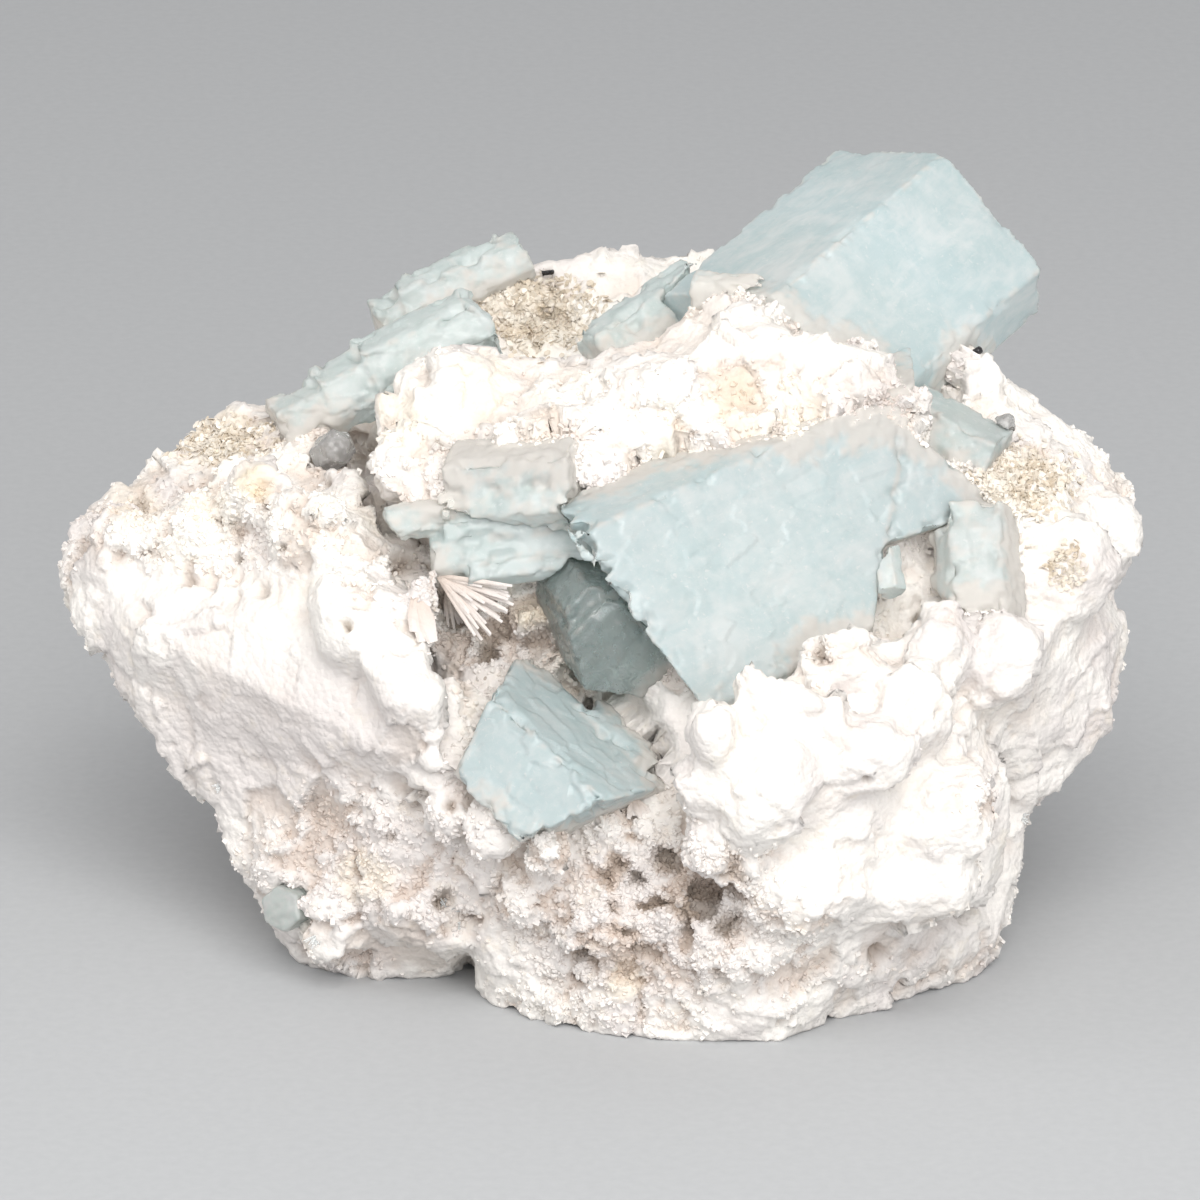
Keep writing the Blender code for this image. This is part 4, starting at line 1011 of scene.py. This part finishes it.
def make_fans():
    """Fans of thin blades: cleavelandite in the middle vug, and clear sprays low down."""
    crystals = [bpy.data.objects[node + "_crystal"] for node in AQUAMARINES]
    find = front_finder(search_tree(rock_pieces() + crystals))
    chance = random.Random(5)
    rock = bpy.data.objects["albite_rock_left"].data.materials[0]
    clear = clear_material("Clear albite spray", linear("#f1f4f4"), 10.0, 0.6, 0.15, 1.53)
    for name, slot, material, fans in (
        ("albite_fans", "albite", rock, FANS), ("clear_sprays", "beryl", clear, SPRAYS),
    ):
        bm = bmesh.new()
        for right, up, heading, spread, count, length, width in fans:
            place, normal = find(right, up)
            if place is None:
                raise ValueError(f"no rock at {right}, {up}")
            for i in range(count):
                angle = heading + spread * (i / (count - 1) - 0.5) + chance.uniform(-4.0, 4.0)
                angle = math.radians(angle)
                reach = length * chance.uniform(0.5, 1.0)
                along, rise = reach * math.cos(angle), reach * math.sin(angle)
                lift = reach * chance.uniform(0.0, 0.25)
                under = find(right + along, up + rise)[0]
                if under is not None:
                    needed = (place - under).dot(INTO_THE_VIEW) / MM + chance.uniform(-0.4, 0.4)
                    lift = min(max(lift, needed), 0.6 * reach)
                way = along * TO_THE_RIGHT + rise * UP_THE_VIEW - lift * INTO_THE_VIEW
                thin_solid(bm, place - 0.2 * MM * normal, way, -INTO_THE_VIEW, way.length, width,
                           0.28 * width)
        made = link(name, bm)
        made.data.materials.append(material)
        finish_piece(made, slot)


# The crystals


def main_way(bm):
    """The direction that most of the edges' length runs in."""
    edges = [(e.verts[1].co - e.verts[0].co) for e in bm.edges]
    lengths = np.array([e.length for e in edges])
    ways = np.array([e.normalized() for e in edges])
    order = np.argsort(lengths)[-LONGEST_EDGES:]
    parallel = np.abs(ways[order] @ ways.T) > SAME_WAY
    best = order[np.argmax(parallel @ lengths)]
    return Vector(ways[best])


def edge_tree(bm):
    """A search tree of points, in millimetres, along the sharp edges."""
    points = []
    for edge in bm.edges:
        if edge.calc_face_angle(0.0) > SHARP:
            start, stop = (v.co / MM for v in edge.verts)
            steps = max(1, round((stop - start).length / EDGE_STEP))
            points += [start.lerp(stop, i / steps) for i in range(steps + 1)]
    tree = KDTree(len(points))
    for i, point in enumerate(points):
        tree.insert(point, i)
    tree.balance()
    return tree


def dusted(places, rock):
    """How close, from 0 to 1, each place of a crystal is to the rock."""
    close = np.zeros(len(places))
    for i, place in enumerate(places):
        away = rock.find_nearest(Vector(place) * MM, DUST_REACH * MM)[3]
        if away is not None:
            close[i] = 1.0 - away / (DUST_REACH * MM)
    return close


def make_aquamarine(node, materials, rock):
    """One aquamarine from its solid, grooved, etched, chipped and crusted with albite, with a
    painted highlight on its sharp edges.
    """
    side, groove, etch, chip, milk, crust, kind = AQUAMARINES[node]
    bm = merged_copy(node)
    bmesh.ops.dissolve_limit(bm, angle_limit=FLAT, verts=bm.verts, edges=bm.edges)
    axis = main_way(bm)
    edges = edge_tree(bm)
    obj = link(node + "_crystal", bm)
    fine_skin(obj, side * MM, 1)
    mesh = obj.data
    places, normals = points_of(mesh)
    edge = np.array([edges.find(place)[2] for place in places])
    flat_way = axis.orthogonal().normalized()
    own = places @ np.array([flat_way, axis.cross(flat_way), axis]).T
    stretched = own * [1.0, 1.0, 0.08]  # so that the grooves run the long way
    on_side = 1.0 - np.abs(normals @ np.array(axis))
    # Grooves on the sides, etched waves and steps, and edges chipped here and there
    out = groove * on_side * (wavy(stretched, 0.9) + 0.8 * wavy(stretched, 2.2, 4.0))
    out += etch * (0.5 * wavy(places, 3.4, 2.0) + 0.4 * wavy(places, 0.9, 6.0))
    out += etch * 1.3 * facets(own * [1.0, 1.0, 0.5], 2.0, 3.0)
    chipped = eased(-0.05, 0.45, wavy(places, 2.3, 5.0) + 0.3 * wavy(places, 0.9, 1.0))
    out -= chip * chipped * (1.0 - eased(0.0, CHIP_REACH, edge))
    # The crust of albite near the rock, and a painted highlight that whitens the sharp edges
    ragged = 0.35 * wavy(places, 1.6, 14.0) + 0.2 * wavy(places, 0.6, 15.0)
    dust = eased(0.30, 0.80, crust + dusted(places, rock) + ragged)
    out += 0.15 * dust * (1.0 + wavy(places, 0.9, 16.0))
    set_points(mesh, places + out[:, None] * normals)
    # The painted highlight: whiter along the sharp edges, in patches
    worn = 0.7 * (1.0 - eased(0.1, 0.7, edge)) * eased(-0.2, 0.4, wavy(places, 1.1, 17.0))
    keep(mesh, "column", own * MM)
    keep(mesh, "milk", np.clip(milk + 0.3 * wavy(places, 7.0, 8.0), 0.0, 1.0))
    keep(mesh, "dust", np.maximum(dust, worn))
    mesh.shade_smooth()
    mesh.materials.clear()
    mesh.materials.append(materials[kind])
    finish_piece(obj, frame_slot(node), node)


def frame_slot(node):
    """The record's material slot of a node."""
    parts = {part["node"]: part["material_slot"] for part in frame["record"]["subparts"]}
    return parts[node]


def make_small(node, material, side, less=0.0):
    """A small crystal with worn edges, from its solid or a little less."""
    obj = link(node + "_crystal", merged_copy(node))
    fine_skin(obj, side * MM, 1)
    places, normals = points_of(obj.data)
    out = 0.10 * wavy(places, 0.8) + 0.05 * wavy(places, 0.4, 3.0) - less
    set_points(obj.data, places + out[:, None] * normals)
    obj.data.shade_smooth()
    obj.data.materials.clear()
    obj.data.materials.append(material)
    finish_piece(obj, frame_slot(node), node)


# The stage


def make_floor():
    """One wide sheet of paper under the specimen."""
    bm = bmesh.new()
    bmesh.ops.create_grid(bm, x_segments=1, y_segments=1, size=FLOOR_HALF)
    obj = link("floor", bm)
    obj.data.materials.append(paper_material())


def area_light(name, place, size, power, colour):
    """A soft light that shines on the specimen. Its place and size are in metres."""
    light = bpy.data.lights.new(name, "AREA")
    light.shape = "RECTANGLE"
    light.size, light.size_y = size
    light.energy = power
    light.color = colour
    obj = bpy.data.objects.new(name, light)
    obj.location = place
    way = LIT_PLACE - Vector(place)
    obj.rotation_euler = way.to_track_quat("-Z", "Y").to_euler()
    bpy.context.scene.collection.objects.link(obj)


def make_lights():
    """Two soft lights in front, a weaker one at the left and an even, pale surrounding."""
    chosen = bpy.context.scene.specimen_stage
    area_light("key", (0.06, -0.48, 0.54), (0.55, 0.45), chosen.key_power, (1.0, 0.985, 0.96))
    area_light("fill", (0.30, -0.80, 0.30), (0.7, 0.5), chosen.fill_power, (0.96, 0.98, 1.0))
    side_power = 0.4 * chosen.fill_power
    area_light("side", (-0.75, -0.10, 0.30), (0.4, 0.5), side_power, (1.0, 1.0, 1.0))
    world = bpy.data.worlds.new("Studio")
    world.use_nodes = True
    background = world.node_tree.nodes["Background"]
    background.inputs["Color"].default_value = (*linear("#ecebeb"), 1.0)
    background.inputs["Strength"].default_value = 0.70
    bpy.context.scene.world = world


def make_camera():
    """A long lens at the front view."""
    camera = bpy.data.cameras.new("camera")
    camera.lens = 300.0
    camera.sensor_width = 36.0
    camera.clip_start, camera.clip_end = 0.05, 20.0
    obj = bpy.data.objects.new("camera", camera)
    obj.location = MM * (VIEW_CENTRE_UP * UP_THE_VIEW - VIEW_DISTANCE * INTO_THE_VIEW)
    obj.rotation_euler = INTO_THE_VIEW.to_track_quat("-Z", "Y").to_euler()
    bpy.context.scene.collection.objects.link(obj)
    bpy.context.scene.camera = obj
    bpy.context.scene.view_settings.view_transform = "Standard"


# The operators


class SPECIMEN_OT_rock(bpy.types.Operator):
    """Make the skin of the albite"""

    bl_idname = "specimen.rock"
    bl_label = "Rock"

    def execute(self, context):
        make_rock()
        return {"FINISHED"}


class SPECIMEN_OT_grains(bpy.types.Operator):
    """Scatter the sugary grains over the albite"""

    bl_idname = "specimen.grains"
    bl_label = "Grains"

    def execute(self, context):
        make_grains()
        return {"FINISHED"}


class SPECIMEN_OT_aquamarines(bpy.types.Operator):
    """Make the aquamarine crystals"""

    bl_idname = "specimen.aquamarines"
    bl_label = "Aquamarines"

    def execute(self, context):
        chosen = context.scene.specimen_beryl
        # The body's colour, how strongly it absorbs, how much light it lets in, how rough it is
        kinds = (
            ("milky", chosen.body, 6.0, 0.5, 0.30), ("pale", chosen.pale, 4.0, 0.5, 0.35),
            # The dark crystal is clearer and glassier, and its darker body and strong absorption
            # are painted shade for the shadow under the broad crystal
            ("clear", chosen.dark, 35.0, 0.75, 0.10),
        )
        materials = {
            kind: beryl_material(f"Aquamarine, {kind}", body, chosen.veil, chosen.deep, *values)
            for kind, body, *values in kinds
        }
        rock = search_tree(rock_pieces())
        for node in AQUAMARINES:
            make_aquamarine(node, materials, rock)
        return {"FINISHED"}


class SPECIMEN_OT_small_crystals(bpy.types.Operator):
    """Make the quartz, the colourless beryl and the tourmaline"""

    bl_idname = "specimen.small_crystals"
    bl_label = "Small crystals"

    def execute(self, context):
        chosen = context.scene.specimen_small
        quartz = clear_material("Smoky quartz", chosen.quartz, 120.0, 0.6, 0.12, 1.544)
        beryl = clear_material("Colourless beryl", linear("#dfe8e4"), 30.0, 0.6, 0.3, 1.577)
        make_small("quartz_grain", quartz, 0.16)
        make_small("quartz_left", quartz, 0.20)
        make_small("beryl_left", beryl, 0.22)
        black = tourmaline_material()
        make_small("tourmaline_right", black, 0.10)
        make_small("tourmaline_left", black, 0.10, 0.16)
        return {"FINISHED"}


class SPECIMEN_OT_mica(bpy.types.Operator):
    """Lay the mica flakes on the albite"""

    bl_idname = "specimen.mica"
    bl_label = "Mica"

    def execute(self, context):
        make_mica()
        return {"FINISHED"}


class SPECIMEN_OT_fans(bpy.types.Operator):
    """Make the fans of albite blades and the clear sprays"""

    bl_idname = "specimen.fans"
    bl_label = "Fans"

    def execute(self, context):
        make_fans()
        return {"FINISHED"}


class SPECIMEN_OT_stage(bpy.types.Operator):
    """Set up the floor, the lights and the camera"""

    bl_idname = "specimen.stage"
    bl_label = "Stage"

    def execute(self, context):
        make_floor()
        make_lights()
        make_camera()
        return {"FINISHED"}


class SPECIMEN_PT_panel(bpy.types.Panel):
    """Lists the specimen's settings and steps"""

    bl_idname = "SPECIMEN_PT_panel"
    bl_label = "Aquamarine on albite"
    bl_space_type = "VIEW_3D"
    bl_region_type = "UI"
    bl_category = "Specimen"

    def draw(self, context):
        scene = context.scene
        for group in (scene.specimen_rock, scene.specimen_beryl, scene.specimen_small,
                      scene.specimen_stage):
            box = self.layout.box()
            for name in group.__annotations__:
                box.prop(group, name)
        for operator in OPERATORS:
            self.layout.operator(operator.bl_idname)


SETTINGS = {
    "specimen_rock": RockSettings,
    "specimen_beryl": BerylSettings,
    "specimen_small": SmallSettings,
    "specimen_stage": StageSettings,
}
OPERATORS = (
    SPECIMEN_OT_stage,
    SPECIMEN_OT_rock,
    SPECIMEN_OT_grains,
    SPECIMEN_OT_aquamarines,
    SPECIMEN_OT_small_crystals,
    SPECIMEN_OT_mica,
    SPECIMEN_OT_fans,
)
CLASSES = (*SETTINGS.values(), *OPERATORS, SPECIMEN_PT_panel)


def register():
    for cls in CLASSES:
        bpy.utils.register_class(cls)
    for name, group in SETTINGS.items():
        setattr(bpy.types.Scene, name, PointerProperty(type=group))


def unregister():
    for name in SETTINGS:
        delattr(bpy.types.Scene, name)
    for cls in reversed(CLASSES):
        bpy.utils.unregister_class(cls)


def main():
    # Blender's own start-up objects go, and the frame's stay
    for obj in [o for o in bpy.data.objects if o.type != "EMPTY" and "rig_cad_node" not in o]:
        bpy.data.objects.remove(obj, do_unlink=True)
    register()
    bpy.ops.specimen.stage()
    bpy.ops.specimen.rock()
    bpy.ops.specimen.grains()
    bpy.ops.specimen.aquamarines()
    bpy.ops.specimen.small_crystals()
    bpy.ops.specimen.mica()
    bpy.ops.specimen.fans()


if __name__ == "__main__":
    main()
